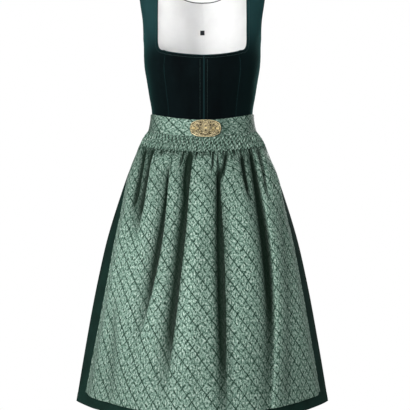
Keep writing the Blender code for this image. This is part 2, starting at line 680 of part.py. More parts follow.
# The clasp
def on_clasp(x, up, height):
    """Points of the clasp, from places across and up from its middle and heights over its back."""
    station = CLASP_STATION + up
    return moved(angle_at(CLASP_X + x, station), station, CLASP_BACK + height)


def clasp_outline(turn):
    """Half the clasp's breadth in each direction: a squared oval with scallops."""
    power = CLASP_SQUARENESS
    reach = (np.abs(np.cos(turn) * 2 / CLASP_WIDTH) ** power
             + np.abs(np.sin(turn) * 2 / CLASP_HEIGHT) ** power) ** (-1 / power)
    return reach * (1 - CLASP_SCALLOP_DEPTH * (1 - np.abs(np.cos(CLASP_SCALLOPS * turn / 2))))


def clasp():
    turn = np.linspace(pi / 2, -pi / 2, CLASP_SEGMENTS + 1)[None]
    share = column(HALF_RELIEF, "share")[:, None]
    x = share * clasp_outline(turn) * np.cos(turn) + SEAM_GAP / 2
    up = share * clasp_outline(turn) * np.sin(turn)
    height = column(HALF_RELIEF, "height")[:, None] + (
        column(HALF_RELIEF, "petal")[:, None] * np.cos(CLASP_PETALS * turn))
    wall("clasp_left", on_clasp(x, up, height), on_clasp(x, up, 0 * height), "gilt")
    wall("clasp_right", on_clasp(-x, up, height), on_clasp(-x, up, 0 * height), "gilt")
    u = np.linspace(-1, 1, MEDALLION_COLUMNS + 1)[None]
    v = np.linspace(1, -1, MEDALLION_COLUMNS + 1)[:, None]
    across, up = u * np.sqrt(1 - v * v / 2), v * np.sqrt(1 - u * u / 2)
    out = np.hypot(across, up)
    height = read(MEDALLION_RELIEF, "share", "height", out) + (
        read(MEDALLION_RELIEF, "share", "petal", out) * np.cos(CLASP_PETALS * np.arctan2(up, across)))
    x, up = across * MEDALLION_WIDTH / 2, up * MEDALLION_HEIGHT / 2
    wall("clasp_medallion", on_clasp(x, up, MEDALLION_BACK + height),
         on_clasp(x, up, MEDALLION_BACK + 0 * height), "gilt")


for shape in list(bpy.data.objects):
    bpy.data.objects.remove(shape)
bodice()
neck_piping()
size_tab()
skirt()
apron_band()
apron_gathers()
apron_skirt()
clasp()
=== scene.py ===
# %% [markdown]
# # A dirndl in velvet and jacquard
#
# This file dresses a finished part. The part is a set of plain solids at real size, and each cell below gives
# one of them the form and the finish that the cloth has from close by. The garment hangs as if it were worn,
# so every piece is a thin shell that follows one form: a waist, a chest, two straps and a bell of a skirt.
# The cells can be read from top to bottom: frame, camera, light, form, finishes and then the pieces.

# %% Load the frame
from collections import namedtuple
from math import cos, pi, radians, sin

import bpy
import numpy as np
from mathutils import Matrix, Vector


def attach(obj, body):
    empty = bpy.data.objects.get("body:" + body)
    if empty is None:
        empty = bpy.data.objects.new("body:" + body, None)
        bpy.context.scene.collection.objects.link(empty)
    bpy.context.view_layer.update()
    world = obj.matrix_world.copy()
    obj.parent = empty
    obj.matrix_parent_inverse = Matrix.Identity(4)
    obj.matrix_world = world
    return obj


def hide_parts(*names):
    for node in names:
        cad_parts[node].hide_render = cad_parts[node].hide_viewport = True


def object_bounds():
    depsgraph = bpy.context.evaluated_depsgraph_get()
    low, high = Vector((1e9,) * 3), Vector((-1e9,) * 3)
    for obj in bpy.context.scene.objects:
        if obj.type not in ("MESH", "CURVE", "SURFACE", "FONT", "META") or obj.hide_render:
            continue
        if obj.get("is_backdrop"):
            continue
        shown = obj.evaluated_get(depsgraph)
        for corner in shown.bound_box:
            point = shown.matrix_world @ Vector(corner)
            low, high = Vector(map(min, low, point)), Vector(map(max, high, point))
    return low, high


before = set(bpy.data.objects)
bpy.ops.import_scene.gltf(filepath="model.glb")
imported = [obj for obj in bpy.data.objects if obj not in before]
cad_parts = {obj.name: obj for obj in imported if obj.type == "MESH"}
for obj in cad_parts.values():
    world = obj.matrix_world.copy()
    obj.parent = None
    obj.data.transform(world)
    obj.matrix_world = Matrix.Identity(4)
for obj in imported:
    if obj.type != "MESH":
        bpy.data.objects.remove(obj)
cad_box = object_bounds()
print("the part measures", [round(1000 * (high - low)) for low, high in zip(*cad_box)], "mm")

# %% [markdown]
# ## Camera
#
# A dress is best looked at from a few paces away through a long lens, level with its middle, so that the straps
# and the hem are seen almost straight on. The lens is worked out from what the square picture takes in.

# %% The camera
CAMERA_DISTANCE = 2.30
PICTURE_SPAN = 0.984  # what the picture takes in, side to side, at the middle of the dress
EYE_LEVEL = -0.593
CAMERA_ASIDE = 0.0065
SENSOR = 36.0

camera = bpy.data.objects.new("camera", bpy.data.cameras.new("camera"))
camera.data.sensor_width = SENSOR
camera.data.lens = SENSOR * CAMERA_DISTANCE / PICTURE_SPAN
camera.location = (CAMERA_ASIDE, -CAMERA_DISTANCE, EYE_LEVEL)
camera.rotation_euler = (pi / 2, 0, 0)
bpy.context.scene.collection.objects.link(camera)
bpy.context.scene.camera = camera
print("the lens is", round(camera.data.lens), "mm")

# %% [markdown]
# ## Nodes and colours
#
# Cloth dyers and screens count colours in sRGB, and a renderer counts light. One function turns the first
# into the second, and one more adds a node to a material together with its settings and its links.

# %% Helpers for materials
COLOUR_A, COLOUR_B, COLOUR_OUT = 6, 7, 2  # the sockets of a Mix node that blends colours


def linear(code):
    """A colour such as #18382f as light, with full alpha."""
    values = [int(code[i:i + 2], 16) / 255 for i in (1, 3, 5)]
    return (*(v / 12.92 if v <= 0.04045 else ((v + 0.055) / 1.055) ** 2.4 for v in values), 1.0)


def add(tree, kind, inputs=None, **settings):
    """A node with its settings. An input may be a value, a socket, or a node whose first output is used."""
    made = tree.nodes.new(kind)
    for name, value in settings.items():
        setattr(made, name, value)
    for key, value in (inputs or {}).items():
        if isinstance(value, bpy.types.Node):
            value = value.outputs[0]
        if isinstance(value, bpy.types.NodeSocket):
            tree.links.new(value, made.inputs[key])
        else:
            made.inputs[key].default_value = value
    return made


def new_finish(name):
    """An empty material, its node tree and its shader."""
    material = bpy.data.materials.new(name)
    material.use_nodes = True
    return material, material.node_tree, material.node_tree.nodes["Principled BSDF"]


print("a middle green is", [round(value, 3) for value in linear("#84a394")[:3]], "as light")

# %% [markdown]
# ## Studio
#
# Folds show only where light comes from the side. A soft lamp on the left, level with the chest, models them,
# and a broader and weaker one stands nearly in front. One from above and one from behind draw the edges, and a
# small narrow one reaches through the neck to the lining at the back.

# %% Lamps
Lamp = namedtuple("Lamp", "name place target size power beam")
LAMPS = [
    Lamp("key", (-1.35, -1.9, -0.28), (0.0, 0.0, -0.40), 0.6, 37, 180),
    Lamp("fill", (0.5, -2.7, -0.3), (0.0, 0.0, -0.40), 1.5, 24, 180),
    Lamp("top", (0.0, -0.7, 1.5), (0.0, 0.0, -0.1), 1.0, 5, 180),
    Lamp("back", (1.0, 2.4, 0.6), (0.0, 0.0, -0.5), 1.8, 40, 180),
    Lamp("snoot", (0.05, -1.5, 0.35), (0.0, 0.1, -0.12), 0.25, 0.13, 18),
]


def look_at(shape, place, target):
    """The lamp stands at a place and shines on a target."""
    shape.location = place
    away = np.array(place) - np.array(target)
    flat = np.hypot(away[0], away[1])
    shape.rotation_euler = (np.arctan2(flat, away[2]), 0, np.arctan2(away[0], -away[1]))


for lamp in LAMPS:
    light = bpy.data.lights.new(lamp.name, "AREA")
    light.size = lamp.size
    light.energy = lamp.power
    light.spread = radians(lamp.beam)
    holder = bpy.data.objects.new(lamp.name, light)
    look_at(holder, lamp.place, lamp.target)
    bpy.context.scene.collection.objects.link(holder)
print("lamps:", ", ".join(f"{lamp.name} {lamp.power} W" for lamp in LAMPS))

# %% [markdown]
# The surround is white paper. The eye is given all of its white and the cloth only a part of it, so that the
# folds keep their shade. The floor is a round sheet of the same paper, well under the hem, for a worn dress
# hangs clear of the ground.

# %% Sky and floor
FLOOR_LEVEL = -1.42
FLOOR_RADIUS = 1.15
SKY_FILL = 0.25  # how much of the white surround lights the cloth
PAPER_GRAIN = 40.0  # waves to the metre

world = bpy.data.worlds.new("studio")
bpy.context.scene.world = world
world.use_nodes = True
sky = world.node_tree.nodes["Background"]
sky.inputs["Color"].default_value = (1, 1, 1, 1)
eye = add(world.node_tree, "ShaderNodeLightPath")
bright = add(world.node_tree, "ShaderNodeMapRange", {0: eye.outputs["Is Camera Ray"], "To Min": SKY_FILL})
world.node_tree.links.new(bright.outputs[0], sky.inputs["Strength"])

paper, tree, shader = new_finish("white_paper")
grain = add(tree, "ShaderNodeTexNoise", {"Scale": PAPER_GRAIN})
tint = add(tree, "ShaderNodeMix", {0: grain, COLOUR_A: linear("#f4f4f2"), COLOUR_B: linear("#eeeeec")},
           data_type="RGBA")
tree.links.new(tint.outputs[COLOUR_OUT], shader.inputs["Base Color"])
shader.inputs["Roughness"].default_value = 0.9
floor_mesh = bpy.data.meshes.new("floor")
rim = [(FLOOR_RADIUS * cos(a), FLOOR_RADIUS * sin(a), FLOOR_LEVEL) for a in np.linspace(0, 2 * pi, 97)[:-1]]
floor_mesh.from_pydata(rim, [], [tuple(range(len(rim)))])
floor_mesh.materials.append(paper)
floor = bpy.data.objects.new("floor", floor_mesh)
bpy.context.scene.collection.objects.link(floor)
floor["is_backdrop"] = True
bpy.context.scene.view_settings.view_transform = "Standard"
print("the floor lies", round(1000 * (cad_box[0][2] - FLOOR_LEVEL)), "mm under the hem")

# %% [markdown]
# ## The form
#
# A dressmaker pads a stand to the wearer's measures. Here the stand is a table: at each height over the waist,
# its station, it has a half width, a depth to the front and one to the back, and a fullness that says how
# square or how pointed the section is. Everything that follows is laid on this one form, in millimetres, so
# that bodice, skirt and apron stay a hair apart from each other all round.

# %% Sections of the form
METRE = 0.001
STRAP_TOP = 375.0
SHOULDER_SEAM = STRAP_TOP - 0.25
SHOULDER_TURN = 20.0
UNDERARM = 173.0
NECK_HALF = 105.5
SHOULDER_SLOPE = 0.36
Section = namedtuple("Section", "station half_width front_depth back_depth front_fullness back_fullness")
SECTIONS = [
    Section(-688, 302.0, 262, 262, 1.85, 1.60),
    Section(-542, 277.5, 240, 243, 1.70, 1.48),
    Section(-398, 250.5, 216, 221, 1.50, 1.34),
    Section(-302, 228.5, 194, 200, 1.34, 1.24),
    Section(-206, 199.5, 166, 173, 1.17, 1.12),
    Section(-134, 174.0, 141, 147, 1.04, 1.02),
    Section(-86, 152.5, 118, 124, 0.96, 0.96),
    Section(-62, 140.5, 107, 113, 0.92, 0.94),
    Section(-42, 127.5, 98, 102, 0.89, 0.92),
    Section(-26, 123.3, 94, 95, 0.88, 0.91),
    Section(-12, 121.3, 92, 91, 0.87, 0.90),
    Section(5, 121.5, 94, 89, 0.87, 0.90),
    Section(34, 126.0, 99, 89, 0.87, 0.89),
    Section(58, 129.5, 107, 91, 0.86, 0.88),
    Section(82, 133.8, 115, 94, 0.85, 0.87),
    Section(106, 138.0, 119, 98, 0.84, 0.86),
    Section(130, 139.8, 118, 101, 0.83, 0.85),
    Section(173, 141.2, 112, 104, 0.82, 0.84),
    Section(215, 148.0, 112, 104, 0.82, 0.84),
    Section(285, 161.0, 112, 104, 0.84, 0.85),
    Section(375, 178.0, 112, 104, 0.86, 0.86),
]
print(len(SECTIONS), "sections from", SECTIONS[0].station, "to", SECTIONS[-1].station, "mm over the waist")

# %% [markdown]
# Over the chest the form has to close to the strap tops, where front and back meet in a seam. A second table
# says how the depth shrinks and how the height is climbed on the way, so that the straps bend over the
# shoulder like real ones and don't run into a point.

# %% Shoulders
Shoulder = namedtuple("Shoulder", "share chest_depth chest_height back_depth back_height")
SHOULDERS = [  # shares of the depth that is left and of the height that is climbed, towards the strap tops
    Shoulder(0.0, 1.00, 0.000, 1.00, 0.000),
    Shoulder(0.2, 0.92, 0.220, 1.00, 0.240),
    Shoulder(0.4, 0.80, 0.440, 0.98, 0.470),
    Shoulder(0.6, 0.64, 0.670, 0.90, 0.700),
    Shoulder(0.8, 0.42, 0.870, 0.66, 0.890),
    Shoulder(0.9, 0.26, 0.955, 0.42, 0.960),
    Shoulder(1.0, 0.00, 1.000, 0.00, 1.000),
]
print("the straps bend over the last", STRAP_TOP - UNDERARM, "mm")

# %% [markdown]
# A table has few rows, and the cloth needs a value at every point. So each column is read along a soft curve
# through its rows, which is what a dressmaker's curved ruler does between two marks.


# %% Reading a table
def column(table, name):
    return np.array([getattr(row, name) for row in table], float)


def smooth(x, xs, ys):
    """ys at x, along a soft curve through the points of a table whose xs rise."""
    x = np.clip(x, xs[0], xs[-1])
    slope = np.gradient(ys, xs, axis=0)
    i = np.clip(np.searchsorted(xs, x, side="right") - 1, 0, len(xs) - 2)
    span = xs[i + 1] - xs[i]
    t = (x - xs[i]) / span
    if np.ndim(ys) > 1:
        span, t = span[:, None], t[:, None]
    first = (1 + 2 * t) * (1 - t) ** 2 * ys[i] + t * (1 - t) ** 2 * span * slope[i]
    return first + t * t * (3 - 2 * t) * ys[i + 1] - t * t * (1 - t) * span * slope[i + 1]


def read(table, key, name, at):
    """A table's column of that name, at values of its key."""
    return smooth(at, column(table, key), column(table, name))


def ease(t):
    """0 up to t = 0 and 1 from t = 1, softly between."""
    t = np.clip(t, 0, 1)
    return t * t * (3 - 2 * t)


print("the hem of the form is", 2 * round(float(read(SECTIONS, "station", "half_width", -688.0))), "mm broad")

# %% [markdown]
# Now the form can be asked for a point. Two numbers give it: the angle round from the centre front, and the
# station. Cloth is laid on it by moving such points straight out, so the way out is needed as well.


# %% Points of the form
def unit(v):
    return v / np.linalg.norm(v, axis=-1, keepdims=True)


def half_width(station):
    return read(SECTIONS, "station", "half_width", station)


def form(angle, station):
    """The point of the form at an angle round from the centre front, in radians, and a station."""
    angle, station = np.broadcast_arrays(np.asarray(angle, float), np.asarray(station, float))
    front = np.cos(angle) >= 0

    def side(name):
        return np.where(front, read(SECTIONS, "station", "front_" + name, station),
                        read(SECTIONS, "station", "back_" + name, station))

    share = np.clip((station - UNDERARM) / (STRAP_TOP - UNDERARM), 0, 1)
    left_over = np.where(front, read(SHOULDERS, "share", "chest_depth", share),
                         read(SHOULDERS, "share", "back_depth", share))
    climbed = np.where(front, read(SHOULDERS, "share", "chest_height", share),
                       read(SHOULDERS, "share", "back_height", share))
    x = half_width(station) * np.sin(angle)
    y = np.where(front, -1, 1) * side("depth") * np.abs(np.cos(angle)) ** side("fullness") * left_over
    top = STRAP_TOP - SHOULDER_SLOPE * np.maximum(np.abs(x) - NECK_HALF, 0)
    z = np.where(station > UNDERARM, UNDERARM + (top - UNDERARM) * climbed, station)
    return np.stack([x, y, z - STRAP_TOP], -1)


def form_normal(angle, station, step=radians(3), rise=3.0):
    """The way out of the form, straight up along the shoulder seams."""
    across = form(angle + step, station) - form(angle - step, station)
    up = form(angle, station + rise) - form(angle, station - rise)
    out = unit(np.cross(across, up))
    out[..., 1] *= ease((SHOULDER_SEAM - station) / SHOULDER_TURN)
    return unit(out)


print("the front of the waist lies at", form(0, 0).round().tolist(), "mm")

# %% [markdown]
# A pattern maker measures across, so a place is more often known by how far aside it lies than by its angle.
# The next helpers turn one into the other, move points off the form, and find the way out of any grid of cloth.


# %% Places on the form
def angle_at(x, station, back=False):
    """The angle at which the form lies x to the wearer's left at a station."""
    sideways = np.arcsin(np.clip(np.asarray(x, float) / half_width(station), -1, 1))
    return pi - sideways if back else sideways


def dip(angle):
    """1 at the centre front, falling to 0 at the sides and all round the back."""
    return np.where(np.cos(angle) > 0, np.cos(angle) ** 2, 0)


def moved(angle, station, out):
    """Points of the form moved straight out of it."""
    return form(angle, station) + form_normal(angle, station) * np.asarray(out, float)[..., None]


def grid_normal(points):
    """The way out of a grid whose rows run down and whose columns run round with the angle."""
    across, down = np.gradient(points, axis=1), np.gradient(points, axis=0)
    return unit(np.cross(down, across))


waist = form(np.linspace(0, 2 * pi, 721), 0 * np.ones(721))
print("the waist measures", round(float(np.linalg.norm(np.diff(waist, axis=0), axis=1).sum())), "mm round")

# %% [markdown]
# ## Meshes for cloth
#
# Each piece starts as a grid of points. Rows and columns stand close by its rim, so that its edge can be round
# like turned cloth and isn't cut off like sheet metal. No cloth hangs quite evenly either, so a sum of a few
# slow waves, the same on each run, moves the points a little.

# %% Rows and unevenness
LIP = (0.0, 0.5, 1.4)  # how far in from the edge the closest rows lie
LIP_WALL = (0.25, 0.8)  # what is left of the thickness in the outermost rows
SQUARE_LIP = (0.62, 0.9)  # where pile or gathers fill the corner of a seam, the edge is squarer


def spread(count, length):
    """Places from 0 to 1 along a length in mm: even steps, with the closer ones at both ends."""
    near = np.array(LIP) / length
    return np.concatenate([near, np.linspace(0, 1, count + 1)[1:-1], 1 - near[::-1]])


def waver(x, y, size, seed):
    """Soft unevenness from about -1 to 1, as lumps of that size."""
    draw = np.random.default_rng(seed)
    total = 0
    for _ in range(6):
        turn, phase = draw.uniform(0, 2 * pi, 2)
        pitch = size * draw.uniform(0.8, 1.7)
        total = total + np.sin(2 * pi * (x * cos(turn) + y * sin(turn)) / pitch + phase)
    return total / 3


print("points across a strip of 20 mm:", (20 * spread(4, 20.0)).round(1).tolist())

# %% [markdown]
# Cloth has two sides and an edge that is turned or pressed round. A shell is made from a grid of points for
# the right side and one for the wrong side, joined along the rim, where the two sides come together. The place
# of each point in the flat cloth is kept as a UV map in millimetres, for the patterns.


# %% Walls and shells
def closed_wall(outer, inner):
    """Points and faces of a closed wall between two grids of points, with its faces turned out."""
    rows, columns = outer.shape[:2]
    count = rows * columns
    points = np.concatenate([outer.reshape(-1, 3), inner.reshape(-1, 3)])
    place = np.arange(count).reshape(rows, columns)
    front = np.stack([place[:-1, :-1], place[:-1, 1:], place[1:, 1:], place[1:, :-1]], -1).reshape(-1, 4)
    rim = np.concatenate([place[0], place[1:, -1], place[-1, -2::-1], place[-2:0:-1, 0]])
    here, there = rim, np.roll(rim, -1)
    faces = np.concatenate([front, front[:, ::-1] + count, np.stack([there, here, here + count, there + count], 1)])
    a, b, c = (points[faces[:, i]] for i in range(3))
    if np.einsum("ij,ij->", a, np.cross(b, c)) < 0:
        faces = faces[:, ::-1]
    return points, faces


def shell(name, outer, inner, flat, finish, marks=None, lip=LIP_WALL):
    """A closed thin piece between two grids of points. flat is the place of each point in the cut cloth,
    and marks are numbers that the finish reads, such as how deep a point lies in a fold."""
    rows, columns = outer.shape[:2]
    wall = np.ones((rows, columns))
    for i, share in enumerate(lip):
        for edge in (wall[i], wall[-1 - i], wall[:, i], wall[:, -1 - i]):
            np.minimum(edge, share, out=edge)
    middle = (outer + inner) / 2
    half = (outer - inner) / 2 * wall[..., None]
    points, faces = closed_wall(middle + half, middle - half)
    mesh = bpy.data.meshes.new(name)
    mesh.vertices.add(len(points))
    mesh.vertices.foreach_set("co", (points * METRE).astype(np.float32).ravel())
    mesh.loops.add(4 * len(faces))
    mesh.loops.foreach_set("vertex_index", faces.astype(np.int32).ravel())
    mesh.polygons.add(len(faces))
    mesh.polygons.foreach_set("loop_start", np.arange(0, 4 * len(faces), 4, dtype=np.int32))
    mesh.update(calc_edges=True)
    mesh.validate()
    both = np.concatenate([flat.reshape(-1, 2)] * 2)
    mesh.uv_layers.new(name="cut").data.foreach_set("uv", both[faces.ravel()].astype(np.float32).ravel())
    for mark, values in (marks or {}).items():
        values = np.broadcast_to(values, (rows, columns)).ravel()
        attribute = mesh.attributes.new(mark, "FLOAT", "POINT")
        attribute.data.foreach_set("value", np.concatenate([values, values]).astype(np.float32))
    mesh.shade_smooth()
    mesh.materials.append(finish)
    piece = bpy.data.objects.new(name, mesh)
    bpy.context.scene.collection.objects.link(piece)
    return piece


square = np.stack([*np.meshgrid([0.0, 1.0], [0.0, 1.0]), np.zeros((2, 2))], -1)
print("the smallest slab of cloth has", len(closed_wall(square, square - [0, 0, 1])[1]), "faces")

# %% [markdown]
# A finished piece is handed to the frame. It says which body it rides on, and which plain solid it takes the place of.
# Its surface is measured for the seamstress.


# %% Dressing a solid
def dress(piece, node):
    """The piece belongs to the frame's one body, and it takes the place of a solid where one is named."""
    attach(piece, "root")
    if node:
        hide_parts(node)


def area(points):
    """The surface of a grid of points, in square metres."""
    down, across = points[1:, :-1] - points[:-1, :-1], points[:-1, 1:] - points[:-1, :-1]
    return float(np.linalg.norm(np.cross(down, across), axis=-1).sum()) * METRE * METRE


print("a square of one metre measures", area(1000 * square), "square metres")

# %% [markdown]
# ## Velvet
#
# Velvet is woven with a second warp that is cut into a dense pile of about two millimetres. Light goes into
# the pile and is lost, so velvet looks almost black from straight ahead. Where the eye skims the surface it
# catches the sides of the threads, and the cloth lights up: the sheen of the shader does this. Where the pile
# is pressed, along seams and folded edges, it lies flat and looks paler. A mark paints this paler colour in, and
# the same mark paints a highlight along the seams and the closing and a painted sheen on the straps and sides.

# %% Velvet
VELVET_GRAIN_MM = 0.8  # the pile's grain, drawn coarser than the real one so that it shows
NAP_STREAKS = (14.0, 14.0, 5.0)  # brushed streaks to the metre: each is 7 cm broad and 20 cm long

velvet, tree, shader = new_finish("cotton_velvet")
where = add(tree, "ShaderNodeTexCoord").outputs["Object"]
streaks = add(tree, "ShaderNodeMapping", {"Vector": where, "Scale": NAP_STREAKS})
brushed = add(tree, "ShaderNodeTexNoise", {"Vector": streaks, "Scale": 1.0, "Detail": 4.0, "Roughness": 0.6})
brushed = add(tree, "ShaderNodeMapRange", {0: brushed, 1: 0.35, 2: 0.65})
ground = add(tree, "ShaderNodeMix", {0: brushed, COLOUR_A: linear("#030709"), COLOUR_B: linear("#060f11")},
             data_type="RGBA")
# the pale colour is pressed pile along the seams, with a painted highlight there and painted sheen on straps and sides
pressed = add(tree, "ShaderNodeAttribute", attribute_name="pressed").outputs["Fac"]
paler = add(tree, "ShaderNodeMix",
            {0: pressed, COLOUR_A: ground.outputs[COLOUR_OUT], COLOUR_B: linear("#254648")}, data_type="RGBA")
tree.links.new(paler.outputs[COLOUR_OUT], shader.inputs["Base Color"])
pile = add(tree, "ShaderNodeTexNoise", {"Vector": where, "Scale": 1 / (VELVET_GRAIN_MM * METRE), "Detail": 2.0})
raised = add(tree, "ShaderNodeBump", {"Height": pile, "Distance": 0.0004, "Strength": 0.5})
tree.links.new(raised.outputs[0], shader.inputs["Normal"])
shader.inputs["Roughness"].default_value = 0.85
shader.inputs["Specular IOR Level"].default_value = 0.04
shader.inputs["Sheen Weight"].default_value = 0.38
shader.inputs["Sheen Roughness"].default_value = 0.35
shader.inputs["Sheen Tint"].default_value = linear("#5cb0a8")
print("velvet has", len(tree.nodes), "nodes")

# %% [markdown]
# ## Plain cloth for skirt, lining and tab
#
# The skirt is a dull cotton sateen. The lining is a fine white cotton, and the tab is ribbon. One function
# makes all three, because they differ in colour, thread and dullness only. The weave is drawn from the thread
# spacing, as a raised checker of warp and weft, and a slow unevenness keeps each from looking printed.

# %% Plain cloth
CLOTH_PATCH_MM = 50.0  # the size of the slow unevenness
Cloth = namedtuple("Cloth", "name dark light thread_mm bump roughness gloss")
CLOTHS = [
    Cloth("cotton_sateen", "#142822", "#1a352e", 0.7, 0.5, 0.85, 0.06),
    Cloth("white_cotton", "#e4e4e3", "#ebebea", 0.6, 0.2, 0.75, 0.1),
    Cloth("woven_ribbon", "#20262a", "#31373b", 0.5, 0.6, 0.7, 0.15),
]
plain = {}
for cloth in CLOTHS:
    material, tree, shader = new_finish(cloth.name)
    cut = add(tree, "ShaderNodeUVMap", uv_map="cut").outputs[0]
    slow = add(tree, "ShaderNodeTexNoise", {"Vector": cut, "Scale": 1 / CLOTH_PATCH_MM, "Detail": 5.0,
                                                "Roughness": 0.65})
    slow = add(tree, "ShaderNodeMapRange", {0: slow, 1: 0.3, 2: 0.7})
    tint = add(tree, "ShaderNodeMix", {0: slow, COLOUR_A: linear(cloth.dark), COLOUR_B: linear(cloth.light)},
               data_type="RGBA")
    tree.links.new(tint.outputs[COLOUR_OUT], shader.inputs["Base Color"])
    weave = add(tree, "ShaderNodeTexChecker", {"Vector": cut, "Scale": 1 / cloth.thread_mm})
    raised = add(tree, "ShaderNodeBump", {"Height": weave.outputs["Fac"], "Distance": 0.0002,
                                          "Strength": cloth.bump})
    tree.links.new(raised.outputs[0], shader.inputs["Normal"])
    shader.inputs["Roughness"].default_value = cloth.roughness
    shader.inputs["Specular IOR Level"].default_value = cloth.gloss
    plain[cloth.name] = material
print("plain cloths:", ", ".join(plain))

# %% [markdown]
# ## Jacquard
#
# A jacquard loom lifts each warp thread by itself, so it can draw with two faces of one satin: the shiny
# side makes the light figures and the dull one the lines. The drawing here is a common diaper of lozenges.
# Two families of slanting lines, p that falls to the right and q that rises, make the cells. Each second line
# of p is drawn whole, and the others and all of q are broken. Each cell has a light body, and in its middle a
# darker vein. A mark paints shade into the colour where the cloth lies deep in folds and gathers, on the band
# and a little near the gauging and the hem.

# %% The jacquard's drawing
CELL_WIDTH = 22.0  # mm, from corner to corner of a lozenge
CELL_HEIGHT = 28.6
LINE = (0.035, 0.08)  # where a line starts to fade and where it is gone, in cells
RISING_LINE = 0.9  # the rising lines are a little weaker than the falling ones
BODY = (0.07, 0.24)  # where the light body of a lozenge starts and where it is full
VEIN_HALF = (1.6, 6.4)
SATIN_STROKES = (0.36, 0.19)  # strokes to the mm across and along: far coarser than the threads
SLUB_MM = 2.4  # thick places in the thread, coarse enough to show
FIGURE_WEIGHTS = (0.16, -0.24, -0.43)  # what the body, the vein and the lines add to the satin's tone

jacquard, tree, shader = new_finish("satin_jacquard")
cut = add(tree, "ShaderNodeUVMap", uv_map="cut").outputs[0]
p = add(tree, "ShaderNodeVectorMath", {0: cut, 1: (1 / CELL_WIDTH, 1 / CELL_HEIGHT, 0)}, operation="DOT_PRODUCT")
q = add(tree, "ShaderNodeVectorMath", {0: cut, 1: (1 / CELL_WIDTH, -1 / CELL_HEIGHT, 0)}, operation="DOT_PRODUCT")
p, q = p.outputs["Value"], q.outputs["Value"]
near_p = add(tree, "ShaderNodeMath", {0: p, 1: 0.5}, operation="PINGPONG")
near_even_p = add(tree, "ShaderNodeMath", {0: p, 1: 1.0}, operation="PINGPONG")
near_q = add(tree, "ShaderNodeMath", {0: q, 1: 0.5}, operation="PINGPONG")
whole, falling, rising = (add(tree, "ShaderNodeMapRange", {0: near, 1: LINE[0], 2: LINE[1], 3: 1.0, 4: 0.0})
                          for near in (near_even_p, near_p, near_q))
gaps_q = add(tree, "ShaderNodeMapRange", {0: near_q, 1: 0.20, 2: 0.27})
gaps_p = add(tree, "ShaderNodeMapRange", {0: near_even_p, 1: 0.52, 2: 0.45})
broken_p = add(tree, "ShaderNodeMath", {0: falling, 1: gaps_q}, operation="MULTIPLY")
broken_q = add(tree, "ShaderNodeMath", {0: rising, 1: gaps_p}, operation="MULTIPLY")
broken_q = add(tree, "ShaderNodeMath", {0: broken_q, 1: RISING_LINE}, operation="MULTIPLY")
lines = add(tree, "ShaderNodeMath", {0: broken_p, 1: broken_q}, operation="MAXIMUM")
lines = add(tree, "ShaderNodeMath", {0: lines, 1: whole}, operation="MAXIMUM")
print("lozenges of", CELL_WIDTH, "by", CELL_HEIGHT, "mm")

# %% [markdown]
# A lozenge's light body is what lies away from both families of lines. Its vein is an oval about the middle of
# the cell, so the place inside the cell is turned into shares of the oval's two halves, and the distance from
# the middle says where it fades.

# %% The body and the vein of each lozenge
nearest = add(tree, "ShaderNodeMath", {0: near_p, 1: near_q}, operation="MINIMUM")
body = add(tree, "ShaderNodeMapRange", {0: nearest, 1: BODY[0], 2: BODY[1]})
part_p = add(tree, "ShaderNodeMath", {0: p}, operation="FRACT")
part_q = add(tree, "ShaderNodeMath", {0: q}, operation="FRACT")
both = add(tree, "ShaderNodeCombineXYZ", {0: part_p, 1: part_q, 2: 0.5})
across, along = CELL_WIDTH / 2 / VEIN_HALF[0], CELL_HEIGHT / 2 / VEIN_HALF[1]
x = add(tree, "ShaderNodeVectorMath", {0: both, 1: (across, across, -2 * across)}, operation="DOT_PRODUCT")
y = add(tree, "ShaderNodeVectorMath", {0: both, 1: (along, -along, 0)}, operation="DOT_PRODUCT")
place = add(tree, "ShaderNodeCombineXYZ", {0: x.outputs["Value"], 1: y.outputs["Value"]})
reach = add(tree, "ShaderNodeVectorMath", {0: place}, operation="LENGTH").outputs["Value"]
vein = add(tree, "ShaderNodeMapRange", {0: reach, 1: 0.5, 2: 1.25, 3: 1.0, 4: 0.0})
print("veins of", 2 * VEIN_HALF[0], "by", 2 * VEIN_HALF[1], "mm")

# %% [markdown]
# Satin threads lie side by side along the piece, so its tone varies in long thin strokes. The drawing is added
# to those strokes and not laid over them, because on the loom both are the same threads. One ramp of four
# greens then gives the colour, and the same tone makes the light threads shinier and a little higher.

# %% The jacquard's colours
stroke_place = add(tree, "ShaderNodeVectorMath", {0: cut, 1: (*SATIN_STROKES, 0)}, operation="MULTIPLY")
strokes = add(tree, "ShaderNodeTexNoise", {"Vector": stroke_place.outputs[0], "Scale": 1.0, "Detail": 4.0,
                                           "Roughness": 0.7})
where = add(tree, "ShaderNodeTexCoord").outputs["Object"]
slubs = add(tree, "ShaderNodeTexNoise", {"Vector": where, "Scale": 1 / (SLUB_MM * METRE), "Detail": 1.0})
tone = add(tree, "ShaderNodeMapRange", {0: strokes, 1: 0.36, 2: 0.64, 3: 0.12, 4: 0.80})
slubs = add(tree, "ShaderNodeMapRange", {0: slubs, 1: 0.36, 2: 0.64, 3: -0.15, 4: 0.15})
tone = add(tree, "ShaderNodeMath", {0: tone, 1: slubs}, operation="ADD")
for figure, weight in zip((body, vein, lines), FIGURE_WEIGHTS):
    tone = add(tree, "ShaderNodeMath", {0: figure, 1: weight, 2: tone}, operation="MULTIPLY_ADD")
ramp = add(tree, "ShaderNodeValToRGB", {0: tone})
stops = ramp.color_ramp.elements
stops[0].position, stops[0].color = 0.0, linear("#172d24")
stops[1].position, stops[1].color = 1.0, linear("#d6e8dc")
for position, colour in ((0.30, "#456355"), (0.60, "#84a394")):
    stops.new(position).color = linear(colour)
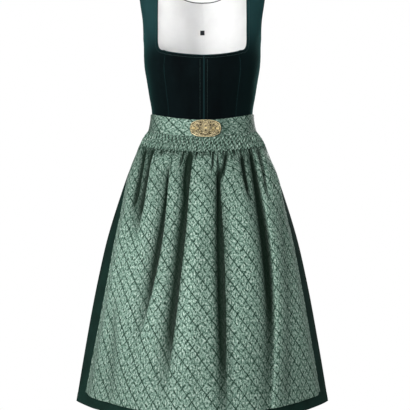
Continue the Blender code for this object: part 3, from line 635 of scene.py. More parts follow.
# painted shade: the mark darkens the colour towards a deep green in folds, gathers and on the band
painted_shade = add(tree, "ShaderNodeAttribute", attribute_name="painted_shade").outputs["Fac"]
shaded = add(tree, "ShaderNodeMix", {0: painted_shade, COLOUR_A: ramp.outputs[0], COLOUR_B: linear("#091d12")},
             data_type="RGBA")
tree.links.new(shaded.outputs[COLOUR_OUT], shader.inputs["Base Color"])
dullness_and_shade = add(tree, "ShaderNodeMapRange", {0: tone, 3: 0.62, 4: 0.42})
tree.links.new(dullness_and_shade.outputs[0], shader.inputs["Roughness"])
raised = add(tree, "ShaderNodeBump", {"Height": tone, "Distance": 0.0005, "Strength": 0.5})
tree.links.new(raised.outputs[0], shader.inputs["Normal"])
shader.inputs["Specular IOR Level"].default_value = 0.12
print("jacquard has", len(tree.nodes), "nodes")

# %% [markdown]
# ## Gilt and thread
#
# The clasp is cast brass with a thin antique gilding: it was dipped dark and then rubbed, so its wires are
# bright and its ground stays brown. The mark "rubbed" tells the two apart. The sewing thread is twisted
# polyester, a little shinier than the cloth that it holds.

# %% Gilt and thread
TARNISH_SCALE = 260.0  # spots to the metre, which makes them about 4 mm across
THREAD_TWIST = 900.0  # gives a turn in 0.7 mm, which is a little coarser than the real one

gilt, tree, shader = new_finish("antique_gilt")
rubbed = add(tree, "ShaderNodeAttribute", attribute_name="rubbed").outputs["Fac"]
where = add(tree, "ShaderNodeTexCoord").outputs["Object"]
tarnish = add(tree, "ShaderNodeTexNoise", {"Vector": where, "Scale": TARNISH_SCALE, "Detail": 4.0})
patchy = add(tree, "ShaderNodeMapRange", {0: tarnish, 1: 0.38, 2: 0.62, 3: 1.5, 4: 0.75})
shine = add(tree, "ShaderNodeMath", {0: rubbed, 1: patchy}, operation="MULTIPLY")
tint = add(tree, "ShaderNodeMix", {0: shine, COLOUR_A: linear("#2a1f0a"), COLOUR_B: linear("#fff0c4")},
           data_type="RGBA")
tree.links.new(tint.outputs[COLOUR_OUT], shader.inputs["Base Color"])
worn = add(tree, "ShaderNodeMapRange", {0: shine, 3: 0.6, 4: 0.42})
tree.links.new(worn.outputs[0], shader.inputs["Roughness"])
raised = add(tree, "ShaderNodeBump", {"Height": tarnish, "Distance": 0.0002, "Strength": 0.4})
tree.links.new(raised.outputs[0], shader.inputs["Normal"])
shader.inputs["Metallic"].default_value = 1.0

thread, tree, shader = new_finish("green_thread")
where = add(tree, "ShaderNodeTexCoord").outputs["Object"]
twist = add(tree, "ShaderNodeTexWave", {"Vector": where, "Scale": THREAD_TWIST, "Distortion": 1.0},
            bands_direction="DIAGONAL")
tint = add(tree, "ShaderNodeMix", {0: twist.outputs["Fac"], COLOUR_A: linear("#1b3330"),
                                   COLOUR_B: linear("#2f4e49")}, data_type="RGBA")
tree.links.new(tint.outputs[COLOUR_OUT], shader.inputs["Base Color"])
shader.inputs["Roughness"].default_value = 0.5
print("finishes:", gilt.name, "and", thread.name)

# %% [markdown]
# ## Bodice
#
# A dirndl's bodice is cut in eight panels of velvet. The seams between them give it its shape, because the
# flat cloth bends in one direction only. Each panel is read from a short table of its two edges, from the
# waist up, and refined with soft curves. Along a seam the pile is pressed and the edge rolls in, which leaves
# a fine valley, and the cloth puckers a little where the machine held it.

# %% The panels' edges
VELVET_WALL = 2.0
WAIST_SEAM = -12.0
FRONT_DIP = 20.0
DIP_REACH = 90.0
NECK_FRONT = 122.0
NECK_BACK = 269.0
BACK_NECK_SQUARENESS = 2.4
CLOSING_X = 4.0
SIDE_SEAM = 1000.0  # past the reach of the form: the edge lies on the side seam
BACK_ARMHOLE_SAG = 7.0
FRONT_NECK_SAG = 2.5
TABLE_STEP = 22.0  # mm from one row of a table to the next, more or less
Edge = namedtuple("Edge", "inner_x inner_station outer_x outer_station")
FRONT_CENTRE = [
    Edge(CLOSING_X, WAIST_SEAM, 77.5, WAIST_SEAM),
    Edge(CLOSING_X, -2, 78.0, -2),
    Edge(CLOSING_X, 13, 79.5, 13),
    Edge(CLOSING_X, 41, 83.0, 43),
    Edge(CLOSING_X, 70, 87.0, 75),
    Edge(CLOSING_X, 93, 88.5, 100),
    Edge(CLOSING_X, 109, 87.0, 119),
    Edge(CLOSING_X, NECK_FRONT, 84.0, 134),
]
FRONT_SIDE = [
    Edge(77.5, WAIST_SEAM, SIDE_SEAM, WAIST_SEAM),
    Edge(78.0, -2, SIDE_SEAM, -2),
    Edge(79.5, 13, SIDE_SEAM, 15),
    Edge(83.0, 43, SIDE_SEAM, 48),
    Edge(87.0, 75, SIDE_SEAM, 84),
    Edge(88.5, 100, SIDE_SEAM, 112),
    Edge(87.0, 119, SIDE_SEAM, 135),
    Edge(84.0, 134, SIDE_SEAM, 155),
    Edge(96.0, 138, SIDE_SEAM, UNDERARM),
    Edge(103.0, 147, 141.0, 181),
    Edge(NECK_HALF, 165, 140.5, 194),
    Edge(NECK_HALF, 195, 141.5, 216),
    Edge(NECK_HALF, 235, 146.5, 250),
    Edge(NECK_HALF, 275, 151.5, 285),
    Edge(NECK_HALF, 315, 156.5, 320),
    Edge(NECK_HALF, 348, 160.0, 350),
    Edge(NECK_HALF, SHOULDER_SEAM, 161.0, SHOULDER_SEAM),
]
BACK_SIDE = [
    Edge(51.5, WAIST_SEAM, SIDE_SEAM, WAIST_SEAM),
    Edge(52.0, -2, SIDE_SEAM, -2),
    Edge(53.5, 15, SIDE_SEAM, 15),
    Edge(58.0, 52, SIDE_SEAM, 48),
    Edge(65.5, 88, SIDE_SEAM, 80),
    Edge(77.5, 124, SIDE_SEAM, 112),
    Edge(94.0, 157, SIDE_SEAM, 144),
    Edge(114.0, 183, SIDE_SEAM, UNDERARM),
]
BACK_CENTRE = [
    Edge(0, WAIST_SEAM, 51.5, WAIST_SEAM),
    Edge(0, -2, 52.0, -2),
    Edge(0, 15, 53.5, 15),
    Edge(0, 55, 58.0, 52),
    Edge(0, 100, 65.5, 88),
    Edge(0, 145, 77.5, 124),
    Edge(0, 190, 94.0, 157),
    Edge(0, 233, 114.0, 183),
]
BACK_ARMHOLE = [(125.5, 197), (133.5, 216), (139.0, 240), (144.0, 268), (149.5, 296), (155.0, 322), (159.3, 350),
                (161.0, SHOULDER_SEAM)]
print("centre front of", len(FRONT_CENTRE), "rows, from x", CLOSING_X, "to", FRONT_CENTRE[-1].outer_x)

# %% [markdown]
# The centre back goes on past its seam. At the nape the edge turns into a round neckline, the quarter of a
# squared oval, and runs up to the shoulder seam, while the armhole is read from its own few points.


# %% The back's edges
def back_edges():
    """The centre back seam and the neckline, against the side back seam and the armhole."""
    edges = list(BACK_CENTRE)
    for turn, (x, station) in zip(np.linspace(0, pi / 2, len(BACK_ARMHOLE)), BACK_ARMHOLE):
        fall = (1 - min(1, sin(turn)) ** BACK_NECK_SQUARENESS) ** (1 / BACK_NECK_SQUARENESS)
        across = NECK_HALF * sin(turn)
        edges.append(Edge(across, SHOULDER_SEAM - (SHOULDER_SEAM - NECK_BACK) * fall, x, station))
    return edges


print("the back has", len(back_edges()), "rows and a neck", STRAP_TOP - NECK_BACK, "mm deep")

# %% [markdown]
# A panel is what lies between its two edges. Its rows are refined from the table, its columns are spread from
# edge to edge, and the distance to each edge is kept in millimetres, since all that a seam does to the cloth
# depends on it. At the waist the front dips, as dirndl waists do.


# %% A panel between its edges
def steps_down(count, rows_each):
    """Steps through a table with count rows to go, from the top down and closer together at both ends."""
    steps = np.linspace(0, count, rows_each * count + 1)
    close = np.array(LIP[1:]) / TABLE_STEP
    return np.concatenate([[0], close, steps[1:-1], count - close[::-1], [count]])[::-1]


def panel(edges, columns, back=False, sag=0.0, rows_each=5):
    """Angles and stations over a panel of the wearer's left, rows from the top down, and how far in mm each
    point lies from the inner and from the outer edge."""
    inner_x, inner_station = column(edges, "inner_x"), column(edges, "inner_station")
    outer_x, outer_station = column(edges, "outer_x"), column(edges, "outer_station")
    inner = angle_at(inner_x, inner_station, back)
    outer = np.where(outer_x >= SIDE_SEAM, pi / 2, angle_at(outer_x, outer_station, back))
    count = len(edges) - 1
    steps = steps_down(count, rows_each)
    ends = np.stack([inner, inner_station, outer, outer_station], 1)
    knots = np.arange(count + 1)
    places = smooth(steps, knots, ends)
    seam = np.flatnonzero(inner_x == 0)  # a centre back seam turns sharply into the neckline
    if len(seam) and seam[-1] < count:
        for part, rows in ((steps < seam[-1], slice(0, seam[-1] + 1)), (steps >= seam[-1], slice(seam[-1], None))):
            places[part, :2] = smooth(steps[part], knots[rows], ends[rows, :2])
    inner, inner_station, outer, outer_station = places.T
    width = np.abs(outer - inner) * half_width(inner_station)
    t = spread(columns, float(width.mean()))
    angle = inner[:, None] * (1 - t) + outer[:, None] * t
    station = inner_station[:, None] * (1 - t) + outer_station[:, None] * t
    near_top = (steps / count)[:, None] ** 4
    near_waist = 1 - ease((station - WAIST_SEAM) / DIP_REACH)
    station = station - sag * near_top * 4 * t * (1 - t) - FRONT_DIP * near_waist * dip(angle)
    return angle, station, width[:, None] * t, width[:, None] * (1 - t)


print("the centre front refines to", panel(FRONT_CENTRE, 34)[0].shape, "points")

# %% [markdown]
# Velvet shows its making at the seams: the pile is pressed flat and pale in a narrow line, and the machine's
# pull leaves small puckers that die out within a finger's breadth. That pale line is partly pressed pile and
# partly a painted highlight. The straps, which turn away from the eye towards the sky, and a little the sides
# are painted paler: this is painted sheen, for the light that they catch.

# %% Velvet between its seams
PUCKER = 0.30  # mm, beside the seams
PUCKER_PITCH = 15.0
PUCKER_REACH = 8.0
PUCKER_WANDER = 60.0
SOFTNESS, SOFTNESS_SIZE = 0.45, 55.0
SEAM_HOLD = 10.0  # mm beside a seam where the cloth is not free to move
PRESSED_AND_SHEEN_WIDTH = 1.3
CLOSING_PRESSED_AND_SHEEN = 0.45
SEAM_PRESSED_AND_SHEEN = 0.10
BACK_SEAM_PRESSED_AND_SHEEN = 0.15
STRAP_SHEEN = 0.62  # painted sheen: how far the straps are painted towards the pale colour
STRAP_SHEEN_FROM, STRAP_SHEEN_OVER = 118.0, 90.0
BACK_SHEEN = 0.4
SIDE_SHEEN, SIDE_SHEEN_FULL = 0.08, radians(60)
Panel = namedtuple("Panel", "name edges columns back sag inner_pressed outer_pressed flat")
PANELS = [
    Panel("front", FRONT_CENTRE, 34, False, FRONT_NECK_SAG, CLOSING_PRESSED_AND_SHEEN, SEAM_PRESSED_AND_SHEEN, (0.094, 0.168)),
    Panel("side_front", FRONT_SIDE, 34, False, 0.0, SEAM_PRESSED_AND_SHEEN, SEAM_PRESSED_AND_SHEEN, (0.11, 0.43)),
    Panel("side_back", BACK_SIDE, 32, True, BACK_ARMHOLE_SAG, SEAM_PRESSED_AND_SHEEN, SEAM_PRESSED_AND_SHEEN, (0.12, 0.20)),
    Panel("back", back_edges(), 34, True, 0.0, BACK_SEAM_PRESSED_AND_SHEEN, SEAM_PRESSED_AND_SHEEN, (0.165, 0.42)),
]


def mirrored(points):
    """The same points on the wearer's right, with the columns turned round."""
    return (points * [-1, 1, 1])[:, ::-1]


def velvet_grid(which, closing_x=None):
    """The two sides of a panel, its place in the cloth, and its pale mark: pressed pile with a painted highlight
    along the seams, and painted sheen on the straps and the sides.
    """
    edges = which.edges
    if closing_x is not None:
        edges = [row._replace(inner_x=closing_x) for row in edges]
    angle, station, from_inner, from_outer = panel(edges, which.columns, which.back, which.sag)
    along = half_width(station) * angle
    beside = np.exp(-from_inner / PUCKER_REACH) + np.exp(-from_outer / PUCKER_REACH)
    pucker = PUCKER * beside * np.sin(2 * pi * station / PUCKER_PITCH + 3 * waver(along, station, PUCKER_WANDER, 3))
    away = np.minimum(np.minimum(from_inner, from_outer) / SEAM_HOLD, 1)
    out = pucker * away + SOFTNESS * away * waver(along, station, SOFTNESS_SIZE, 5) - SOFTNESS
    pressed = (which.inner_pressed * np.exp(-(from_inner / PRESSED_AND_SHEEN_WIDTH) ** 2)
               + which.outer_pressed * np.exp(-(from_outer / PRESSED_AND_SHEEN_WIDTH) ** 2))
    # painted sheen: the straps and the sides are painted paler for the light that they catch
    painted_sheen = (SIDE_SHEEN * ease(np.abs(angle) / SIDE_SHEEN_FULL - 0.3)
           + STRAP_SHEEN * (BACK_SHEEN if which.back else 1) * ease((station - STRAP_SHEEN_FROM) / STRAP_SHEEN_OVER))
    pressed = np.minimum(pressed + painted_sheen, 1)
    outer, inner = moved(angle, station, out), moved(angle, station, out - VELVET_WALL + SOFTNESS)
    return outer, inner, np.stack([along, station], -1), pressed


print("pressed for", PRESSED_AND_SHEEN_WIDTH, "mm and puckered for", PUCKER_REACH, "mm beside each seam")

# %% Velvet panels
for which in PANELS:
    for side, turn in (("left", 1), ("right", -1)):
        closing = None if which.name != "front" else turn * CLOSING_X
        outer, inner, flat, pressed = velvet_grid(which, closing)
        if turn < 0:
            outer, inner, flat, pressed = mirrored(outer), mirrored(inner), flat[:, ::-1], pressed[:, ::-1]
        name = f"bodice_{which.name}_{side}"
        piece = shell(name + "_velvet", outer, inner, flat, velvet, {"pressed": pressed}, SQUARE_LIP)
        dress(piece, name)
        area(outer)
    print(name, "has", outer.shape[0], "by", outer.shape[1], "points and", round(area(outer), 4), "square metres")

# %% [markdown]
# ## Inside, and the neckline
#
# The back is lined with white cotton, which shows through the neck opening. A lining is cut with the pattern of
# its velvet, so it is made from the same panels, moved in by the velvet's wall. It is held at its seams and
# sags a little between them.

# %% Lining
LINING_WALL = 1.0
LINING_GAP = 0.8
LINING_SOFTNESS, LINING_SOFTNESS_SIZE = 0.5, 70.0
LINING_HOLD = 40.0
LINING_COLUMNS, LINING_ROWS_EACH = 24, 4

for which in PANELS[2:]:
    angle, station, from_inner, from_outer = panel(which.edges, LINING_COLUMNS, True, which.sag, LINING_ROWS_EACH)
    along = half_width(station) * angle
    away = ease(np.minimum(from_inner, from_outer) / LINING_HOLD)
    out = (LINING_SOFTNESS * away * (waver(along, station, LINING_SOFTNESS_SIZE, 11) - 1) / 2
           - VELVET_WALL - LINING_GAP)
    outer, inner = moved(angle, station, out), moved(angle, station, out - LINING_WALL)
    flat = np.stack([along, station], -1)
    for side, turn in (("left", 1), ("right", -1)):
        sides = (outer, inner) if turn > 0 else (mirrored(outer), mirrored(inner))
        name = f"lining_{which.name}_{side}"
        piece = shell(name + "_cloth", *sides, flat[:, ::turn], plain["white_cotton"])
        dress(piece, name)
        area(outer)
    print(name, "is", LINING_WALL, "mm thick and", round(area(outer), 4), "square metres")

# %% [markdown]
# A small loop of dark ribbon is sewn in at the middle of the back, where a maker puts the size. It is left
# plain. It lies on the lining, so it is made from the form's own points, one more step in.

# %% Tab
SIZE_TAB = (11.0, 10.0)
SIZE_TAB_STATION = 206.0
SIZE_TAB_GAP = 0.7
SIZE_TAB_WALL = 0.6
SIZE_TAB_STEPS = 8

x = SIZE_TAB[0] * (spread(SIZE_TAB_STEPS, SIZE_TAB[0]) - 0.5)[None]
station = SIZE_TAB_STATION + SIZE_TAB[1] * (0.5 - spread(SIZE_TAB_STEPS, SIZE_TAB[1]))[:, None] + 0 * x
angle = angle_at(-x + 0 * station, station, True)
out = 0 * angle - VELVET_WALL - LINING_GAP - LINING_WALL - SIZE_TAB_GAP
outer, inner = moved(angle, station, out), moved(angle, station, out - SIZE_TAB_WALL)
piece = shell("size_tab_cloth", outer, inner, np.stack([x + 0 * station, station], -1), plain["woven_ribbon"])
dress(piece, "size_tab")
print("a tab of", SIZE_TAB[0], "by", SIZE_TAB[1], "mm")

# %% [markdown]
# ## Neckline
#
# A cord, a stitch and later the clasp's wires are all the same thing: a tube along a path. Each ring of the
# tube stands square to the path, with one side kept away from the cloth, so that it never twists. Many small
# closed bodies are then joined into one piece, since nobody counts stitches one by one.


# %% Tubes
def tube(points, out, radius, sides=6, closed=False):
    """Points and faces of a tube along a path, with out as the way up from what it lies on."""
    points, out = np.asarray(points, float), np.asarray(out, float)
    if closed:
        along = unit(np.roll(points, -1, 0) - np.roll(points, 1, 0))
    else:
        along = unit(np.gradient(points, axis=0))
    aside = unit(np.cross(out, along))
    up = np.cross(along, aside)
    turn = 2 * pi * np.arange(sides) / sides
    radius = np.broadcast_to(radius, len(points))[:, None, None]
    rings = points[:, None] + radius * (np.cos(turn)[:, None] * aside[:, None] + np.sin(turn)[:, None] * up[:, None])
    faces = []
    for i in range(len(points) if closed else len(points) - 1):
        here, there = i * sides, (i + 1) % len(points) * sides
        faces += [(here + j, there + j, there + (j + 1) % sides, here + (j + 1) % sides) for j in range(sides)]
    if not closed:
        faces += [tuple(range(sides)), tuple(reversed(range((len(points) - 1) * sides, len(points) * sides)))]
    return rings.reshape(-1, 3), faces


print("the shortest tube has", len(tube([[0, 0, 0], [0, 1, 0]], [[0, 0, 1]] * 2, 0.5)[1]), "faces")


# %% Joined bodies
def joined(name, parts, finish, marks=None):
    """One piece from many small closed bodies, each a pair of points and faces, with the faces turned out."""
    points, faces, start = [], [], 0
    for body_points, body_faces in parts:
        fan = np.array([(f[0], f[i], f[i + 1]) for f in body_faces for i in range(1, len(f) - 1)])
        a, b, c = (body_points[fan[:, i]] - body_points[0] for i in range(3))
        turn = 1 if np.einsum("ij,ij->", a, np.cross(b, c)) > 0 else -1
        points.append(body_points)
        faces += [tuple(start + int(i) for i in face)[::turn] for face in body_faces]
        start += len(body_points)
    mesh = bpy.data.meshes.new(name)
    mesh.from_pydata((np.concatenate(points) * METRE).tolist(), [], faces)
    for mark, values in (marks or {}).items():
        attribute = mesh.attributes.new(mark, "FLOAT", "POINT")
        attribute.data.foreach_set("value", np.concatenate(values).astype(np.float32))
    mesh.shade_smooth()
    mesh.materials.append(finish)
    piece = bpy.data.objects.new(name, mesh)
    bpy.context.scene.collection.objects.link(piece)
    print(name, "has", start, "points")
    return piece


# %% [markdown]
# The whole neckline is finished with a cord wrapped in bias-cut velvet. It follows the edge of the front, goes
# up the inner edge of the strap, round the nape and back down on the other side, as one closed ring.

# %% Piping
PIPING_RADIUS = 1.3
PIPING_SIDES = 10
PIPING_PRESSED = 0.25
STRAP_ROWS_FROM, BACK_ROWS_FROM = 7.3, 8  # steps of the tables where the neckline leaves the seam


def neck_edge(closing_x):
    """Angles and stations along the neckline from the centre front over the strap to the centre back."""
    edges = [row._replace(inner_x=closing_x) for row in FRONT_CENTRE]
    runs = [np.stack([grid[0] for grid in panel(edges, 24, sag=FRONT_NECK_SAG)[:2]], 1)]
    over_the_strap = [(FRONT_SIDE, False, -1, STRAP_ROWS_FROM), (back_edges(), True, 1, BACK_ROWS_FROM)]
    for table, back, turn, first in over_the_strap:
        kept = steps_down(len(table) - 1, 5) >= first
        runs.append(np.stack([grid[kept, 0] for grid in panel(table, 4, back)[:2]], 1)[::turn])
    return np.concatenate(runs)


left, right = neck_edge(CLOSING_X), neck_edge(-CLOSING_X)
neck = np.concatenate([
    moved(*left.T, np.full(len(left), -VELVET_WALL / 2)),
    (moved(*right.T, np.full(len(right), -VELVET_WALL / 2)) * [-1, 1, 1])[::-1],
])
neck_out = np.concatenate([form_normal(*left.T), (form_normal(*right.T) * [-1, 1, 1])[::-1]])
kept = [i for i in range(len(neck)) if np.linalg.norm(neck[i] - neck[i - 1]) > PIPING_RADIUS / 2]
neck, neck_out = neck[kept], neck_out[kept]
neck_along = unit(np.roll(neck, -1, 0) - np.roll(neck, 1, 0))
neck_aside = unit(np.cross(neck_out, neck_along))
cord = tube(neck + neck_aside * PIPING_RADIUS, neck_out, PIPING_RADIUS, PIPING_SIDES, True)
pressed = np.full(len(cord[0]), PIPING_PRESSED)
dress(joined("neck_piping_cord", [cord], velvet, {"pressed": [pressed]}), "neck_piping")
cord_length = float(np.linalg.norm(np.roll(neck, -1, 0) - neck, axis=1).sum())
print("the cord is", round(cord_length), "mm long")

# %% [markdown]
# A row of stitches runs beside the cord, and one on each side of the closing. A machine stitch is a short fat
# bit of thread that dives into the pile at both ends, so each one is a tube that swells in its middle and lies
# half sunk. The rows on velvet hardly show, but they tell the eye how large everything is.

# %% Stitches
STITCH, STITCH_GAP, THREAD_RADIUS = 2.6, 0.8, 0.28
STITCH_DEPTH = 0.15  # how far the middle of a stitch lies under the cloth's right side
STITCH_PLACES = np.array([0, 0.15, 0.5, 0.85, 1])  # along a stitch, and how thick it is there
STITCH_SWELL = np.array([0.35, 0.9, 1, 0.9, 0.35])
NECK_STITCH_IN = 4.5
CLOSING_ROWS = (-4.9, 11.7)  # x of the rows of stitches on both sides of the closing
CLOSING_ROW_START, CLOSING_ROW_END = NECK_FRONT - NECK_STITCH_IN - 3, -20.0


def stitches(path, out):
    """Short bodies of thread along a path of points on the cloth."""
    reach = np.concatenate([[0], np.cumsum(np.linalg.norm(np.diff(path, axis=0), axis=1))])
    bodies = []
    for start in np.arange(STITCH_GAP, reach[-1] - STITCH, STITCH + STITCH_GAP):
        at = start + STITCH * STITCH_PLACES
        places = np.stack([np.interp(at, reach, path[:, i]) for i in range(3)], 1)
        ups = unit(np.stack([np.interp(at, reach, out[:, i]) for i in range(3)], 1))
        bodies.append(tube(places, ups, THREAD_RADIUS * STITCH_SWELL))
    return bodies


neck_row = neck - neck_aside * NECK_STITCH_IN + neck_out * (VELVET_WALL / 2 - STITCH_DEPTH)
neck_row, neck_row_out = (np.concatenate([row, row[:1]]) for row in (neck_row, neck_out))
bodies = stitches(neck_row, neck_row_out)
for x in CLOSING_ROWS:
    station = np.linspace(CLOSING_ROW_START, CLOSING_ROW_END, 60)
    angle = angle_at(x, station)
    bodies += stitches(moved(angle, station, 0 * station - STITCH_DEPTH), form_normal(angle, station))
dress(joined("bodice_stitches", bodies, thread), None)
print(len(bodies), "stitches")

# %% [markdown]
# ## Skirt
#
# The skirt is three panels: one in front, under the apron, and two at the back with a seam between them. It
# is gathered into the waist at the sides and the back. Many small gathers start there, and most of them run
# together into a few deep folds on the way down, which is what a full skirt does under its own weight.

# %% The skirt's folds
SKIRT_HEM = -688.0
SKIRT_FOLD_START = 38.0
SKIRT_FOLD_FADE = 110.0
WAIST_FOLD_SHARE = 0.16  # depth and width of a fold at the waist, as shares of those at the hem
WAIST_WIDTH_SHARE = 0.36
SkirtFold = namedtuple("SkirtFold", "top_angle hem_angle top bottom depth width")
SKIRT_FOLDS = [
    SkirtFold(-58, -50, -300, -700, 5, 20),
    SkirtFold(-24, -20, -280, -700, 6, 22),
    SkirtFold(12, 10, -300, -700, 6, 22),
    SkirtFold(47, 42, -280, -700, 5, 20),
    SkirtFold(99, 102, -40, -430, 9, 11),
    SkirtFold(106, 112, -40, -700, 17, 15),
    SkirtFold(113, 120, -40, -250, 10, 9),
    SkirtFold(121, 127, -40, -700, 19, 15),
    SkirtFold(130, 136, -40, -470, 14, 12),
    SkirtFold(138, 144, -40, -700, 18, 15),
    SkirtFold(146, 151, -40, -290, 10, 10),
    SkirtFold(154, 158, -40, -700, 20, 16),
    SkirtFold(163, 166, -40, -540, 14, 12),
    SkirtFold(172, 173, -40, -700, 17, 14),
    SkirtFold(181, 182, -40, -330, 10, 9),
    SkirtFold(189, 190, -40, -700, 20, 16),
    SkirtFold(198, 199, -40, -610, 14, 13),
    SkirtFold(207, 206, -40, -700, 18, 15),
    SkirtFold(215, 212, -40, -260, 9, 10),
    SkirtFold(223, 219, -40, -700, 20, 16),
    SkirtFold(231, 226, -40, -500, 14, 12),
    SkirtFold(239, 235, -40, -700, 17, 14),
    SkirtFold(247, 243, -40, -330, 10, 9),
    SkirtFold(254, 249, -40, -700, 17, 14),
    SkirtFold(261, 258, -40, -400, 9, 11),
]


def skirt_sink(angle, station):
    """How deep the skirt's folds lie under the form."""
    point = form(angle, station)
    reach = np.hypot(point[..., 0], point[..., 1])
    down = (WAIST_SEAM - station) / (WAIST_SEAM - SKIRT_HEM)
    total = 0
    for fold in SKIRT_FOLDS:
        centre = radians(fold.top_angle) + radians(fold.hem_angle - fold.top_angle) * down
        width = fold.width * (WAIST_WIDTH_SHARE + (1 - WAIST_WIDTH_SHARE) * down)
        depth = fold.depth * (WAIST_FOLD_SHARE + (1 - WAIST_FOLD_SHARE) * down)
        held = ease(1 + (fold.top - station) / SKIRT_FOLD_START)
        if fold.bottom > SKIRT_HEM:
            held = held * ease((station - fold.bottom) / SKIRT_FOLD_FADE)
        total = total + held * depth * np.exp(-((angle - centre) * reach / width) ** 2)
    return total


print(len(SKIRT_FOLDS), "folds, the deepest of", max(fold.depth for fold in SKIRT_FOLDS), "mm")

# %% [markdown]
# A hem is turned up twice and stitched, so its edge is thicker, with a fine valley where the thread pulls. The
# same two lines of code serve the skirt's hem, the apron's hem and the apron's sides.

# %% Turned and stitched edges
TURN_STEP = 0.35
STITCH_LINE, STITCH_PULL = 1.1, 0.3  # half the width of the valley that a row of stitches pulls, and its depth


def turned(distance, width):
    """The height that a turned and stitched edge adds, from the distance to that edge."""
    step = TURN_STEP * ease((width + 0.5 - distance) / 1.2)
    return step - STITCH_PULL * np.exp(-((distance - width) / STITCH_LINE) ** 2)


def around(width, length):
    """Places from 0 to 1 close to a row of stitches that lies that far from the end of a length."""
    return 1 - (width + np.array([-2.2, -1.1, -0.4, 0.4, 1.1, 2.2])) / length


print("a hem is", round(float(turned(np.array(5.0), 20.0)), 2), "mm thicker than the cloth")

# %% [markdown]
# A panel of the skirt hangs from the waist seam to the hem. Small gathers are held at the waist at the back,
# and they die out where the deep folds take over. The way out is taken from the folded cloth itself, so that
# the wall is equally thick in the folds and between them.

# %% Skirt panels
SKIRT_WALL = 1.5
SKIRT_HEM_TURN = 22.0  # the hem is turned up so far and stitched
WAIST_GATHER = 0.9
WAIST_GATHER_PITCH = 6.8
WAIST_GATHER_REACH = 60.0
SKIRT_SOFTNESS, SKIRT_SOFTNESS_SIZE = 0.5, 60.0
SKIRT_SOFT_FROM = 150.0
SKIRT_SEAM_HOLD = 8.0
BACK_PANEL_WIDTH = 400.0  # halfway down, more or less


def skirt_panel(name, first, last, rows, columns):
    """A panel of the skirt between two angles, from the waist seam down to the hem."""
    drop = WAIST_SEAM - SKIRT_HEM
    level = np.sort(np.concatenate([spread(rows, drop), around(SKIRT_HEM_TURN, drop)]))[:, None]
    across = spread(columns, BACK_PANEL_WIDTH)[None]
    angle = first + (last - first) * across + 0 * level
    top = WAIST_SEAM - FRONT_DIP * dip(angle)
    station = top + level * (SKIRT_HEM - top)
    base = moved(angle, station, -skirt_sink(angle, station))
    hung = np.where(np.cos(angle) < 0, 1 - ease((WAIST_SEAM - station) / WAIST_GATHER_REACH), 0)
    place = angle * half_width(WAIST_SEAM)
    gather = 0.5 + 0.5 * np.sin(2 * pi * place / WAIST_GATHER_PITCH + 1.5 * waver(place, station / 6, 30, 21))
    ends = np.minimum(np.minimum(across, 1 - across) * BACK_PANEL_WIDTH / SKIRT_SEAM_HOLD, 1)
    small = -WAIST_GATHER * gather * hung * ends
    soft = SKIRT_SOFTNESS * (waver(place, station / 3, SKIRT_SOFTNESS_SIZE, 22) - 1)
    small = small + soft * ends * ease((WAIST_SEAM - station) / SKIRT_SOFT_FROM)
    small = small + turned(station - SKIRT_HEM, SKIRT_HEM_TURN)
    out = grid_normal(base)
    out[:, [0, -1]] = form_normal(angle[:, [0, -1]], station[:, [0, -1]])
    outer = base + out * small[..., None]
    inner = base - out * (SKIRT_WALL - 0.5 * small[..., None])
    run = np.cumsum(np.linalg.norm(np.diff(outer, axis=1, prepend=outer[:, :1]), axis=-1), axis=1)
    piece = shell(name + "_cloth", outer, inner, np.stack([run, station], -1), plain["cotton_sateen"])
    dress(piece, name)
    print(name, outer.shape[:2], round(area(outer), 3), "square metres, hem", round(float(run[-1, -1])), "mm")


skirt_panel("skirt_front", -pi / 2, pi / 2, 110, 90)
skirt_panel("skirt_back_left", pi / 2, pi, 110, 170)
skirt_panel("skirt_back_right", pi, 1.5 * pi, 110, 170)

# %% [markdown]
# ## Apron band and gauging
#
# The apron's waistband runs all the way round, with its pattern turned on its side. It is folded double, as
# waistbands are, so it is thick for cloth and its edges are round. Where it turns away from the light it is
# painted darker as painted shade, and a short table on each side says by how much.

